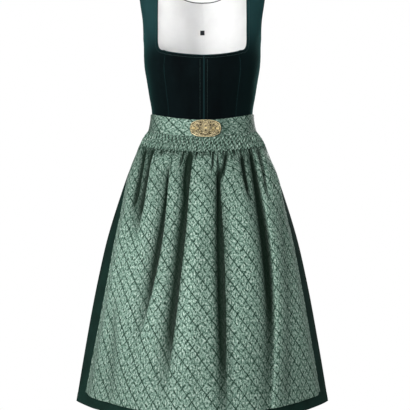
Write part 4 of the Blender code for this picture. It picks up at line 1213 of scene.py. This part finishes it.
# %% Band
BAND_TOP = -2.0
BAND_HEIGHT = 41.0
BAND_WALL = 2.0
LAYER_GAP = 1.2
CLASP_X = 7.5  # the clasp's middle, where the band's two halves meet
CLASP_STATION = -44.0
BAND_BELLY = 0.5
BAND_PUCKER, BAND_PUCKER_PITCH = 0.45, 9.5
BAND_PUCKER_REACH = (9.0, 5.0)  # up from the lower seam and down from the upper edge
BAND_SOFTNESS, BAND_SOFTNESS_SIZE = 0.25, 35.0
BAND_HALF_LENGTH = 340.0
BAND_LEFT_SHADE = [(30, 0.46), (55, 0.44), (80, 0.24), (110, 0.34), (140, 0.42)]  # mm aside, and how much painted shade darkens it
BAND_RIGHT_SHADE = [(30, 0.08), (85, 0.06), (105, 0.30), (125, 0.60), (140, 0.60)]
for side, start, band_shade in (("left", CLASP_X, BAND_LEFT_SHADE), ("right", -CLASP_X, BAND_RIGHT_SHADE)):
    first, last = angle_at(start, CLASP_STATION), pi
    level = spread(22, BAND_HEIGHT)[:, None]
    angle = first + (last - first) * spread(150, BAND_HALF_LENGTH)[None] + 0 * level
    station = BAND_TOP - FRONT_DIP * dip(angle) - level * BAND_HEIGHT
    along = angle * half_width(CLASP_STATION)
    seam = (np.exp(-(1 - level) * BAND_HEIGHT / BAND_PUCKER_REACH[0])
            + 0.4 * np.exp(-level * BAND_HEIGHT / BAND_PUCKER_REACH[1]))
    pucker = 0.5 + 0.5 * np.sin(2 * pi * along / BAND_PUCKER_PITCH + 2 * waver(along, station, 40, 31))
    out = BAND_BELLY * (4 * level * (1 - level) - 1)
    out = out - BAND_PUCKER * seam * pucker
    out = out + BAND_SOFTNESS * (waver(along, station, BAND_SOFTNESS_SIZE, 32) - 1)
    outer = moved(angle, station, LAYER_GAP + BAND_WALL + out)
    inner = moved(angle, station, LAYER_GAP + 0 * out)
    flat = np.stack([station, along], -1)
    if side == "right":
        outer, inner, flat = mirrored(outer), mirrored(inner), flat[:, ::-1] * [1, -1]
    # painted shade: the tables darken the band's colour along its length
    shade = np.interp(np.abs(outer[..., 0]), *zip(*band_shade))
    piece = shell(f"apron_band_{side}_cloth", outer, inner, flat, jacquard, {"painted_shade": shade})
    dress(piece, f"apron_band_{side}")
print("band", outer.shape[:2], round(area(outer), 4), "square metres")

# %% [markdown]
# Under the band the apron leaves a strip of the skirt free on either side, a little more on the wearer's right,
# and from the hip down it stands off the skirt. A table gives both, and the edges and the grid of every piece of
# the apron are worked out from it.

# %% The apron's lie
GATHERS_HEIGHT = 37.0
APRON_HEM = -655.0
APRON_HEM_DIP = 9.0
APRON_EDGE_OFF = 4.2
APRON_EDGE_ZONE = radians(13)
Apron = namedtuple("Apron", "station free_strip more_right stand_off")
APRON_LIE = [  # how much skirt shows beside the apron, more on the wearer's right, and how far it stands off
    Apron(-690, 24, 3, 21.0),
    Apron(-350, 22, 9, 21.0),
    Apron(-230, 16, 6, 20.0),
    Apron(-160, 9, 2, 16.0),
    Apron(-125, 7, 0, 12.0),
    Apron(-100, 6, 0, 6.5),
    Apron(-80, 5, 0, 4.6),
    Apron(-42, 3, 0, 3.4),
]


def apron_edge(station, right=0.0):
    """The angle of the apron's side edge, on the wearer's left, or on the right where right is 1."""
    half = half_width(station)
    strip, more = (read(APRON_LIE, "station", name, station) for name in ("free_strip", "more_right"))
    return np.arcsin((half - (strip + right * more)) / half)


def apron_off(angle, station):
    """How far the apron stands off the form between its folds."""
    far = read(APRON_LIE, "station", "stand_off", station)
    inside = ease((apron_edge(station, angle < 0) - np.abs(angle)) / APRON_EDGE_ZONE)
    return np.minimum(far, APRON_EDGE_OFF) + np.maximum(far - APRON_EDGE_OFF, 0) * inside


def apron_grid(top, bottom, levels, across):
    """Angles and stations over a piece of the apron, out to its side edges."""
    levels, across = levels[:, None], 2 * across[None] - 1
    beside = top + levels * (bottom - top)
    angle = across * apron_edge(beside, across < 0)
    hang = FRONT_DIP if bottom > APRON_HEM else FRONT_DIP + levels * (APRON_HEM_DIP - FRONT_DIP)
    return angle, beside - hang * dip(angle)


print("the apron's hem spans", 2 * round(float(np.degrees(apron_edge(APRON_HEM)))), "degrees of the skirt's round")

# %% [markdown]
# The top of the apron is gauged: many rows of running stitches are drawn up together, so that the cloth stands
# in a hundred narrow ridges. Each row pulls the ridges in a little, and they swell between the rows. A ridge is
# one wave of a cosine over the row of points, and slow waves keep any two ridges from being alike.

# %% Gauging
GATHERS_WALL = 1.0
GAUGING_RIDGES = 104
GATHER_DEPTH = 2.6
GAUGING_PITCH = 7.4
GAUGING_WIDTH = 300.0
GATHERED_CUT = 830.0  # mm of cloth that the gauging draws in

across = spread(8 * GAUGING_RIDGES, GAUGING_WIDTH)
level = spread(36, GATHERS_HEIGHT)
top = BAND_TOP - BAND_HEIGHT
angle, station = apron_grid(top, top - GATHERS_HEIGHT, level, across)
down = level[:, None] * GATHERS_HEIGHT
place = across[None] * GAUGING_RIDGES
# a ridge sways a little on its way down, it is pulled in at each row of stitches, and it may lie lower than
# the one beside it
sway = 0.10 * waver(place, down / 3, 9, 41) * ease(down / 8)
ridge = 0.5 - 0.5 * np.cos(2 * pi * (place + sway))
swell = 0.60 + 0.40 * np.abs(np.sin(pi * (down + 0.4 * waver(place, down, 6, 42)) / GAUGING_PITCH))
pair = 0.68 + 0.32 * np.cos(pi * place + 2.5 * waver(place, down / 7, 6, 45))
ridge = ridge * pair
height = GATHER_DEPTH * (0.85 + 0.15 * waver(place, 0 * place, 5, 43)) * ridge * swell * ease(down / 14 + 0.2)
off = apron_off(angle, station)
outer = moved(angle, station, off + height)
inner = moved(angle, station, off - GATHERS_WALL)
flat = np.stack(np.broadcast_arrays(GATHERED_CUT * (across[None] - 0.5), -down), -1)
# painted shade: the valleys between the ridges and the crushed spots are painted dark
crumple = 0.5 + 0.5 * waver(place * 3, down, 5, 44)  # small spots where the ridges are crushed, painted dark below
deep = np.clip(1.30 * (0.9 - ridge) * (1.0 - 0.5 * swell) + 1.20 * (crumple - 0.60), 0, 0.95)
piece = shell("apron_gathers_cloth", outer, inner, flat, jacquard, {"painted_shade": deep}, SQUARE_LIP)
dress(piece, "apron_gathers")
print("gauging", outer.shape[:2], round(area(outer), 4), "square metres")

# %% [markdown]
# ## Apron
#
# Below the gauging the ridges open out. The smallest fade within a few centimetres, some run on as fingers,
# and at last the apron hangs in a few deep folds. A fold is drawn as a hollow: a line of three points down the
# apron, with a width to either side and a length over which it begins and ends. It is narrow at its start and
# grows on the way down.

# %% The apron's folds
SHOULDER, SHOULDER_WIDTH = 0.50, 36.0  # the soft beginning of a long fold, as a share of its depth, and in mm
FOLD_SOFT_END = 90  # folds that end over a longer stretch than this have one
FOLD_YOUNG = (0.42, 0.65)  # a long and a short fold's width at its start, as a share of the full one
FOLD_GROWN = 200.0  # how far down a fold is at its full width
Fold = namedtuple(  # the shade of a fold may be wider than the fold, on either side
    "Fold", "top x_top x_middle bottom x_bottom sink width_left width_right sharp start end shade_left shade_right",
    defaults=(1.0, 1.0))
APRON_FOLDS = [
    Fold(-88, -132, -151, -250, -172, 0.75, 7, 7, 3, 20, 60),
    Fold(-84, -112, -140, -330, -165, 0.92, 12, 16, 2.5, 20, 120),
    Fold(-128, -74, -108, -600, -170, 1.00, 9, 11, 2, 60, 260, 1.05, 1.35),
    Fold(-100, -23, -56, -700, -94, 1.00, 12, 14, 2.5, 30, 300, 1.30, 1.40),
    Fold(-92, -25, -36, -215, -47, 0.50, 9, 14, 2.5, 20, 80),
    Fold(-250, 7, -6, -700, -20, 0.22, 20, 20, 2, 100, 80),
    Fold(-128, 38, 47, -860, 44, 1.00, 13, 14, 5, 60, 500, 1.40, 1.10),
    Fold(-98, 56, 51, -178, 43, 0.85, 9, 11, 2.5, 16, 40),
    Fold(-104, 92, 101, -225, 116, 0.80, 8, 10, 2.5, 30, 60),
    Fold(-88, 110, 159, -880, 101, 1.00, 12, 15, 5, 40, 560),
    Fold(-86, 129, 142, -215, 157, 0.75, 8, 8, 3, 20, 50),
    Fold(-200, 181, 200, -700, 188, 0.35, 18, 18, 2, 80, 80),
    Fold(-430, -206, -206, -700, -214, 0.35, 17, 17, 2, 80, 80),
]


def fold_sink(fold, x, station):
    """How far a fold sinks the cloth into its hollow, from 0 to 1. The side away from the light is softer."""
    t = np.clip((fold.top - station) / (fold.top - fold.bottom), 0, 1)
    centre = (fold.x_top * (1 - t) * (1 - 2 * t) + fold.x_middle * 4 * t * (1 - t)
              + fold.x_bottom * t * (2 * t - 1))
    young = FOLD_YOUNG[0] if fold.end > FOLD_SOFT_END else FOLD_YOUNG[1]
    grown = young + (1 - young) * ease((fold.top - station) / FOLD_GROWN)
    width = np.where(x > centre, fold.width_left, fold.width_right) * grown
    held = ease((fold.top + fold.start / 3 - station) / fold.start) * ease((station - fold.bottom) / fold.end)
    away = np.abs(x - centre) / width
    sink = np.exp(-away ** np.where(x > centre, fold.sharp, 2.0))
    if fold.end > FOLD_SOFT_END:
        soft = np.exp(-(np.abs(x - centre) / SHOULDER_WIDTH) ** 2) * (x < centre)
        sink = np.maximum(sink, SHOULDER * soft + (1 - SHOULDER * soft) * sink)
    return fold.sink * held * sink


print(len(APRON_FOLDS), "folds, of which", sum(fold.bottom < APRON_HEM for fold in APRON_FOLDS), "reach the hem")

# %% [markdown]
# The grid of the main panel hangs from the gauging to the hem. Its rows lie closer together near the top, where
# there is more to show, and it has four columns for each small gather.

# %% The apron's grid
GATHERS = 72  # under the gauging: two small ridges run together now and then
APRON_HEM_TURN = 12.0
CLOSE_ROWS, CLOSE_SHARE = 60, 0.24  # the rows lie closer in the upper part, where the gathers fade
WIDE_ROWS = 76
APRON_WIDTH = 500.0  # halfway down, more or less

drop = BAND_TOP - BAND_HEIGHT - GATHERS_HEIGHT - APRON_HEM
top = APRON_HEM + drop
level = np.sort(np.concatenate([
    np.array(LIP) / drop, np.linspace(0, CLOSE_SHARE, CLOSE_ROWS)[1:], np.linspace(CLOSE_SHARE, 1, WIDE_ROWS)[1:-1],
    1 - np.array(LIP)[::-1] / drop, around(APRON_HEM_TURN, drop)]))
across = spread(4 * GATHERS, APRON_WIDTH)
angle, station = apron_grid(top, APRON_HEM, level, across)
form_point, out_way = form(angle, station), form_normal(angle, station)
down = (top - FRONT_DIP * dip(angle)) - station
place = (across[None] - 0.5) * 2 * apron_edge(top) * half_width(top) + 0 * down
off = apron_off(angle, station)
x = form_point[..., 0] + off * out_way[..., 0]
print("the apron's grid has", len(level), "rows and", len(across), "columns over", round(drop), "mm")

# %% [markdown]
# Each point is sunk by the large folds and by the creases. The creases are the short sharp ones right under the
# gauging: some are listed one by one, and many small ones come at an even pitch, each with a length and a
# strength of its own.

# %% Folds and creases
CREASES = [  # the short sharp folds under the gauging
    Fold(-84, -92, -93, -116, -95, 0.9, 2.8, 2.8, 2.5, 10, 16),
    Fold(-84, -62, -66, -114, -70, 0.8, 2.6, 2.6, 2.5, 10, 16),
    Fold(-86, -40, -46, -150, -55, 1.0, 3.4, 3.6, 2.5, 14, 36),
    Fold(-88, -12, -14, -136, -16, 0.9, 2.8, 2.8, 2.5, 14, 30),
    Fold(-88, 5, 4, -120, 3, 0.8, 2.4, 2.4, 2.5, 14, 16),
    Fold(-88, 24, 24.5, -160, 21, 1.0, 3.2, 3.2, 2.5, 14, 40),
    Fold(-104, 35, 36.5, -200, 38, 0.9, 2.6, 2.0, 2.5, 24, 30),
    Fold(-86, 74, 75, -114, 76, 0.8, 2.6, 2.6, 2.5, 10, 16),
    Fold(-82, 108, 109, -106, 110, 1.0, 4.0, 4.0, 2.5, 8, 16),
]
CREASE_PITCH = 8.6  # of the many small creases between them
CREASE_WANDER = 1.4
CREASE_LENGTH, CREASE_LENGTH_VARIES = 20, 11
CREASE_HALF_WIDTH = 1.7

main = np.minimum(sum(fold_sink(fold, x, station) for fold in APRON_FOLDS), 1)
crease = sum(fold_sink(fold, x, station) for fold in CREASES)
# many small creases, each with its own length and strength
count = np.round(place / CREASE_PITCH)
beside_crease = place - count * CREASE_PITCH - CREASE_WANDER * waver(count, down / 60, 4, 61)
length = CREASE_LENGTH + CREASE_LENGTH_VARIES * waver(count, 0 * count, 3.3, 62)
held = (1 - ease(down / length)) * (0.8 + 0.2 * waver(count, 0 * count, 2.7, 63))
crease = np.minimum(crease + held * np.exp(-(beside_crease / CREASE_HALF_WIDTH) ** 2), 1)
print("folds sink", round(100 * float(main.mean())), "% of the apron, and creases",
      round(100 * float(crease.mean()), 1), "%")

# %% [markdown]
# Between the folds the cloth isn't flat. The small gathers run out of the gauging, the cloth springs out below
# it, and further down it is soft. All of this is pressed back to the skirt where a fold sinks, so that a hollow
# is deep whatever stands beside it.

# %% Gathers and softness
SMALL_GATHER = 2.1
SMALL_GATHER_FADE = 30.0
SWELL = 3.6  # how far the cloth springs out under the gauging
APRON_CLEAR = 2.6  # how far off the form the cloth still lies in the deepest hollow

# the small gathers fade on the way down, each over its own length
count = across[None] * GATHERS + 0 * down
ridge = 0.5 - 0.5 * np.cos(2 * pi * count + 0.8 * waver(count, down / 6, 9, 51) * ease(down / 20))
strength = 0.72 + 0.28 * waver(count, 0 * count, 4, 52)
fade = SMALL_GATHER_FADE * (1 + 0.45 * waver(count, 0 * count, 5, 53))
small = SMALL_GATHER * strength * ridge * (1 - ease(down / fade))
# the cloth springs out under the gauging, is soft between its folds, and sinks into them
swell = SWELL * ease(down / 16) * (1 - ease((down - 40) / 90)) * ease((apron_edge(station) - np.abs(angle)) / 0.25)
soft = 1.5 * waver(place, station / 5, 38, 54) * ease(down / 60) * ease((off - 6) / 10)
full = off + swell + small + soft
sunk = 1 - (1 - main) * (1 - crease)
raw = APRON_CLEAR + (full - APRON_CLEAR) * (1 - sunk)
base = form_point + out_way * raw[..., None]
print("the cloth stands", round(float(raw.min()), 1), "to", round(float(raw.max()), 1), "mm off the form")

# %% [markdown]
# Real folds lean over their own hollows, and this is what makes them look soft and heavy. The leaning is a slide
# of each point across the slope, most at the ridge and none in the hollow. The hem and the sides are turned.

# %% Lean and turned edges
APRON_SIDE_TURN = 10.0
LEAN = 8.0
LEAN_FULL = 18.0  # mm off the form, where the folds lean in full
LEAN_HOLD = 25.0  # mm beside the apron's edges, where they hardly do
STEEPEST = 1.5

sideways = unit(np.gradient(form_point, axis=1))
run = np.linalg.norm(np.diff(form_point, axis=1, prepend=form_point[:, :1]), axis=-1).cumsum(1)
smooth_off = APRON_CLEAR + (off - APRON_CLEAR) * (1 - main)
slope = np.stack([np.gradient(r, s) for r, s in zip(smooth_off, run)])
free = np.clip((smooth_off - APRON_CLEAR) / LEAN_FULL, 0, 1) ** 1.5
beside = np.minimum(run, run[:, -1:] - run)
lean = -LEAN * np.clip(slope, -STEEPEST, STEEPEST) * free * np.minimum(beside / LEAN_HOLD, 1)
outer = base + sideways * lean[..., None]
hem = station - (APRON_HEM - APRON_HEM_DIP * dip(angle))
outer = outer + out_way * (turned(hem, APRON_HEM_TURN) + turned(beside, APRON_SIDE_TURN))[..., None]
print("ridges lean up to", round(float(np.abs(lean).max()), 1), "mm")

# %% [markdown]
# The pattern is woven before the cloth is folded, so each point needs its place in the flat cloth. Each row is
# unrolled to the same length, and the cloth that a row lacks is tucked into its folds. Down the apron the place
# follows what the eye sees, so that the lozenges keep their height where the cloth bulges.

# %% The pattern on the folded cloth
APRON_WALL = 1.2
CUT_FLARE = 0.16  # the cut is so much narrower at its top than at its hem

step = np.linalg.norm(np.diff(outer, axis=1), axis=-1)
tuck = ((sunk[:, 1:] + sunk[:, :-1]) / 2) ** 2
middle = step.shape[1] // 2
taken = step.copy()
for half in (slice(0, middle), slice(middle, None)):
    lacking = np.maximum(step[-1:, half].sum(1) * (1 - CUT_FLARE * (1 - level)) - step[:, half].sum(1), 0)
    share = lacking / np.maximum((step * tuck)[:, half].sum(1), 1.0)
    taken[:, half] *= 1 + share[:, None] * tuck[:, half]
width = np.concatenate([0 * step[:, :1], np.cumsum(taken, axis=1)], axis=1)
width = width - width[:, middle:middle + 1]
fall = np.concatenate([[0], np.cumsum(np.linalg.norm(np.diff(outer[:, middle], axis=0), axis=-1))])
sight = (outer[..., 2] * METRE - EYE_LEVEL) / (CAMERA_DISTANCE + form_point[..., 1] * METRE)
fall = np.interp(-sight, -sight[:, middle], fall)
flat = np.stack([width, -GATHERS_HEIGHT - fall], -1)
inner = outer - APRON_WALL * grid_normal(outer)
print("rows are", round(float(step.sum(1)[0])), "to", round(float(step.sum(1)[-1])), "mm long before they are unrolled")

# %% [markdown]
# The renderer finds some of the shade in a fold by itself. Between two layers of cloth that touch there is
# more, and a mark paints it into the colour as painted shade: deepest in the folds and creases, where a wide
# fold may shade more than its own width, between the small gathers, and a little near the gauging and the hem.

# %% Dark hollows
SMALL_GATHER_SHADE = 0.65
CREASE_SHADE, CREASE_SHADE_FROM, CREASE_SHADE_OVER = 0.94, 0.30, 0.5  # from where in a crease it is dark
HOLLOW_SHADE, HOLLOW_SHADE_FROM, HOLLOW_SHADE_OVER = 0.97, 0.06, 0.80
ENDS_SHADE = 0.20  # painted shade: the cloth is painted darker near the gauging and the hem
ENDS_SHADE_TOP, ENDS_SHADE_TOP_OVER = 20, 130  # mm under the gauging
ENDS_SHADE_HEM, ENDS_SHADE_HEM_OVER = 330, 200

small_deep = SMALL_GATHER_SHADE * (1 - ridge) * (1 - ease(down / fade))
crease_deep = CREASE_SHADE * ease((crease - CREASE_SHADE_FROM) / CREASE_SHADE_OVER)
shades = [fold._replace(width_left=fold.shade_left * fold.width_left, width_right=fold.shade_right * fold.width_right,
                        end=fold.end / fold.shade_left ** 0.7) for fold in APRON_FOLDS]
main_shade = np.minimum(sum(fold_sink(shade, x, station) for shade in shades), 1)
main_deep = HOLLOW_SHADE * np.clip((main_shade - HOLLOW_SHADE_FROM) / HOLLOW_SHADE_OVER, 0, 1) ** 1.2
# painted shade, a little darker towards the gauging and the hem
dullness_and_shade = ENDS_SHADE * (1 - ease((down - ENDS_SHADE_TOP) / ENDS_SHADE_TOP_OVER) + ease((down - ENDS_SHADE_HEM) / ENDS_SHADE_HEM_OVER))
deep = 1 - (1 - main_deep) * (1 - crease_deep) * (1 - small_deep) * (1 - dullness_and_shade)
piece = shell("apron_skirt_cloth", outer, inner, flat, jacquard, {"painted_shade": deep}, SQUARE_LIP)
dress(piece, "apron_skirt")
print("apron", outer.shape[:2], round(area(outer), 3), "square metres")

# %% [markdown]
# ## Clasp
#
# The clasp is the jewel of the dress. It is cast in the manner of filigree, which is wire and small grains
# soldered on a plate. It is drawn flat, as places across, up and out, because so a goldsmith lays the wires.
# Only the last step bends the whole drawing round the waist. Two mirrored halves hook together under an oval
# medallion. The design is a plain one of scrolls, grains and rosettes, in the manner of many folk clasps.

# %% The clasp's outline
CLASP_BACK = 5.2
CLASP_SIZE = (72.0, 43.0)
CLASP_SQUARENESS = 2.7
CLASP_SCALLOPS = 16
CLASP_SCALLOP_DEPTH = 0.03
MEDALLION_SIZE = (17.0, 34.0)
MEDALLION_BACK = 3.5
PLATE = 0.8
RIM_SHARE, RIM_RADIUS = 0.94, 0.75


def clasp_outline(turn):
    """Half the clasp's breadth in each direction: a squared oval with scallops."""
    power = CLASP_SQUARENESS
    reach = (np.abs(np.cos(turn) * 2 / CLASP_SIZE[0]) ** power
             + np.abs(np.sin(turn) * 2 / CLASP_SIZE[1]) ** power) ** (-1 / power)
    return reach * (1 - CLASP_SCALLOP_DEPTH * (1 - np.abs(np.cos(CLASP_SCALLOPS * turn / 2))))


def at_turn(turn, share):
    """Places on a smaller copy of the outline."""
    reach = share * clasp_outline(turn)
    return np.stack([reach * np.cos(turn), reach * np.sin(turn)], -1)


print("the clasp is", CLASP_SIZE[0], "by", CLASP_SIZE[1], "mm, with", CLASP_SCALLOPS, "scallops")

# %% [markdown]
# Filigree knows three things: a wire, which may be coiled into a scroll, a grain, which is a drop of metal, and a
# rosette, which is a ring of flattened grains round a larger one. Each is a small closed body.


# %% Wires and scrolls
UP = np.array([0.0, 0.0, 1.0])


def wire(places, height, radius, closed=False):
    """A wire of six sides through flat places, lying at that height."""
    points = np.concatenate([places, np.broadcast_to(height, len(places))[:, None]], 1)
    return tube(points, np.broadcast_to(UP, points.shape), radius, 6, closed)


def scroll(x, up, reach, start, turns):
    """Places along a spiral that winds in to the middle."""
    t = np.linspace(0, 1, 34)
    angle = start + 2 * pi * turns * t
    radius = reach * (1 - 0.82 * t)
    return np.stack([x + radius * np.cos(angle), up + radius * np.sin(angle)], -1)


print("a scroll of 6 mm ends", round(float(np.hypot(*scroll(0, 0, 6.0, 0, 1.5)[-1])), 1), "mm from its middle")


# %% Grains and rosettes
def grain(x, up, base, size, turn=0.0, sides=8):
    """A low rounded boss: its half length, half breadth and height, turned about its middle."""
    angle = 2 * pi * np.arange(sides) / sides
    rings = []
    for rise in (-0.3, 0.45, 0.85):
        reach = np.sqrt(1 - max(rise, 0) ** 2)
        a, b = size[0] * reach * np.cos(angle), size[1] * reach * np.sin(angle)
        rings.append(np.stack([x + a * cos(turn) - b * sin(turn), up + a * sin(turn) + b * cos(turn),
                               base + rise * size[2] + 0 * a], 1))
    points = np.concatenate(rings + [[[x, up, base + size[2]]]])
    faces = [(i * sides + j, i * sides + (j + 1) % sides, (i + 1) * sides + (j + 1) % sides, (i + 1) * sides + j)
             for i in range(2) for j in range(sides)]
    faces += [(2 * sides + j, 2 * sides + (j + 1) % sides, 3 * sides) for j in range(sides)]
    return points, faces + [tuple(range(sides))]


def rosette(x, up, base, reach, petals=8):
    """Petals round a boss."""
    bodies = [grain(x, up, base, (0.36 * reach, 0.36 * reach, 0.42 * reach), sides=10)]
    for k in range(petals):
        turn = 2 * pi * k / petals
        out = 0.68 * reach
        bodies.append(grain(x + out * cos(turn), up + out * sin(turn), base,
                            (0.34 * reach, 0.22 * reach, 0.28 * reach), turn))
    return bodies


print("a rosette has", len(rosette(0, 0, 0, 4.0)), "bodies")

# %% [markdown]
# The wires of half a clasp come first: its rim, a thinner one inside it, and four pairs of scrolls that wind in
# opposite directions above and below. The plate under them is half the outline, filled from its middle.

# %% The wires of half a clasp
Scroll = namedtuple("Scroll", "x up reach start turns height radius")
SCROLLS = [  # the upper ones; start is in degrees
    Scroll(20.5, 8.6, 6.2, 200, -1.7, 1.5, 0.62),
    Scroll(11.5, 4.6, 3.4, 20, 1.5, 1.4, 0.5),
    Scroll(12.0, 13.2, 3.6, -60, 1.5, 1.4, 0.5),
    Scroll(29.0, 6.4, 2.6, 100, -1.4, 1.4, 0.45),
]
INNER_RIM = (0.80, 1.2, 0.45)  # its share of the outline, its height and its radius

turn = np.linspace(pi / 2, -pi / 2, 65)
share = np.array([0.08, 0.3, 0.55, 0.8, 0.95, 0.98])
plate = at_turn(turn[None], share[:, None])
flat_plate = np.concatenate([plate, np.full(plate.shape[:2] + (1,), PLATE)], -1)
half = [closed_wall(flat_plate, flat_plate * [1, 1, 0])]
lines = [(at_turn(turn, RIM_SHARE), 1.45, RIM_RADIUS), (at_turn(turn, INNER_RIM[0]), *INNER_RIM[1:])]
for side in (1, -1):
    lines += [(scroll(s.x, s.up * side, s.reach, side * radians(s.start), s.turns * side), s.height, s.radius)
              for s in SCROLLS]
half += [wire(*line) for line in lines]
print("half a clasp has", len(lines), "wires")

# %% [markdown]
# Two rosettes lie on the middle line, and a large grain sits on the rim between each two scallops. All ground
# that is left is filled with small grains in close rows, wherever none of them would touch a wire.

# %% The rosettes and grains of half a clasp
Rosette = namedtuple("Rosette", "x base reach petals free_reach free_points")
ROSETTES = [Rosette(27.2, 1.3, 4.2, 8, 2.4, 12), Rosette(18.2, 1.2, 3.2, 6, 1.6, 8)]
RIM_GRAIN_SIZE = (1.15, 1.15, 1.5)
GRAIN_PITCH, GRAIN_ROW = 1.9, 0.87  # the rows are so much closer, as a share of the pitch
GRAIN_SIZE = (0.62, 0.62, 0.75)
GRAIN_FREE = 1.15  # mm between a grain's middle and the wires
GRAINS_WITHIN = 0.90

for r in ROSETTES:
    half += rosette(r.x, 0, r.base, r.reach, r.petals)
for turn in radians(22.5) * np.arange(-3.5, 4):
    half.append(grain(*at_turn(np.array(turn), RIM_SHARE), 1.5, RIM_GRAIN_SIZE))
taken = np.concatenate([places for places, _, _ in lines] + [
    [[r.x + r.free_reach * cos(a), r.free_reach * sin(a)] for a in np.linspace(0, 6.2, r.free_points)]
    for r in ROSETTES])
grains = 0
for row in range(-11, 12):
    for col in range(2, 20):
        x, up = GRAIN_PITCH * (col + 0.5 * (row % 2)), GRAIN_PITCH * GRAIN_ROW * row
        inside = np.hypot(x, up) < GRAINS_WITHIN * clasp_outline(np.arctan2(up, x))
        if inside and np.linalg.norm(taken - [x, up], axis=1).min() > GRAIN_FREE:
            half.append(grain(x, up, PLATE, GRAIN_SIZE, sides=6))
            grains += 1
print("half a clasp has", len(half), "parts,", grains, "of them grains")

# %% [markdown]
# The medallion covers the hook. It is a plain dome with two rings of wire, a ring of grains and three rosettes.
# The dome's grid is a square one that is rounded into an oval, so that no faces crowd together at its middle.

# %% Medallion
MEDALLION_WIRES = [(0.93, 1.1, 0.75), (0.72, 1.0, 0.4)]  # the share of its size, the height and the radius
MEDALLION_GRAINS, MEDALLION_GRAIN_SIZE = 0.83, (0.5, 0.5, 0.6)
MEDALLION_ROSETTE = 8.6  # from its middle up and down to the two small ones

u = np.linspace(-1, 1, 17)[None]
v = np.linspace(1, -1, 17)[:, None]
across, along = u * np.sqrt(1 - v * v / 2), v * np.sqrt(1 - u * u / 2)
out = np.hypot(across, along)
dome = np.stack([across * MEDALLION_SIZE[0] / 2, along * MEDALLION_SIZE[1] / 2, 0.6 + 0.7 * (1 - out ** 2)], -1)
medallion = [closed_wall(dome, dome * [1, 1, 0])]
turn = 2 * pi * np.arange(48) / 48
for share, height, radius in MEDALLION_WIRES:
    places = share * np.stack([np.cos(turn) * MEDALLION_SIZE[0], np.sin(turn) * MEDALLION_SIZE[1]], 1) / 2
    medallion.append(wire(places, height, radius, True))
medallion += rosette(0, 0, 1.2, 4.6)
for side in (1, -1):
    medallion += rosette(0, MEDALLION_ROSETTE * side, 0.9, 2.8, 6)
for turn in radians(15) * np.arange(24):
    x, up = (MEDALLION_GRAINS * size / 2 * way(turn) for size, way in zip(MEDALLION_SIZE, (cos, sin)))
    medallion.append(grain(x, up, 1.2, MEDALLION_GRAIN_SIZE, sides=6))
print("the medallion has", len(medallion), "parts")

# %% [markdown]
# A place across and up on the drawing is now looked up on the form, and its height is laid off along the way
# out. The mirrored half comes from the same drawing with its sideways places turned round. The small piercings
# of the openwork are spots of dark patina here, and everything that stands up is rubbed bright.

# %% Bend the clasp round the waist
RUBBED_FROM, RUBBED_OVER = 0.75, 0.5  # mm above the plate
MEDALLION_SHINE = 0.75  # it is less rubbed than the halves
PIERCINGS = [(11.2, 14.2), (11.2, 7.6), (10.0, -13.8), (17.4, 8.0), (0.0, 4.2), (0.0, -8.0)]  # across and up, mm
PIERCING_REACH = 2.7
GROUND_SHINE = 0.08


def bent(name, bodies, side, base, shine=1.0):
    """The drawn bodies on the waist, as one gilt piece: rubbed bright where they stand up, and dark with patina
    around the small piercings of the openwork."""
    parts, rubbed = [], []
    for points, faces in bodies:
        x, up, height = points.T
        station = CLASP_STATION + up
        parts.append((moved(angle_at(CLASP_X + side * x, station), station, CLASP_BACK + base + height), faces))
        away = np.min([np.hypot(x - px, up - pz) for px, pz in PIERCINGS], 0)
        clean = 1 - np.exp(-(away / PIERCING_REACH) ** 4)
        rubbed.append(np.clip(shine * clean * (height - RUBBED_FROM) / RUBBED_OVER, GROUND_SHINE * clean, shine))
    dress(joined(name + "_filigree", parts, gilt, {"rubbed": rubbed}), name)


bent("clasp_left", half, 1, 0.0)
bent("clasp_right", half, -1, 0.0)
bent("clasp_medallion", medallion, 1, MEDALLION_BACK, MEDALLION_SHINE)
print("the clasp lies", CLASP_BACK, "mm off the form, and its medallion", CLASP_BACK + MEDALLION_BACK, "mm")

# %% [markdown]
# ## Size
#
# The last cell keeps the size of the plain part beside that of the dressed one. They have to agree within a few
# millimetres, because all that was added is finer than the cloth is thick, or lies in its folds.

# %% Size and finish
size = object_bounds()
[[list(corner) for corner in box] for box in (cad_box, size)]
print("the dress measures", [round(1000 * (high - low)) for low, high in zip(*size)], "mm")
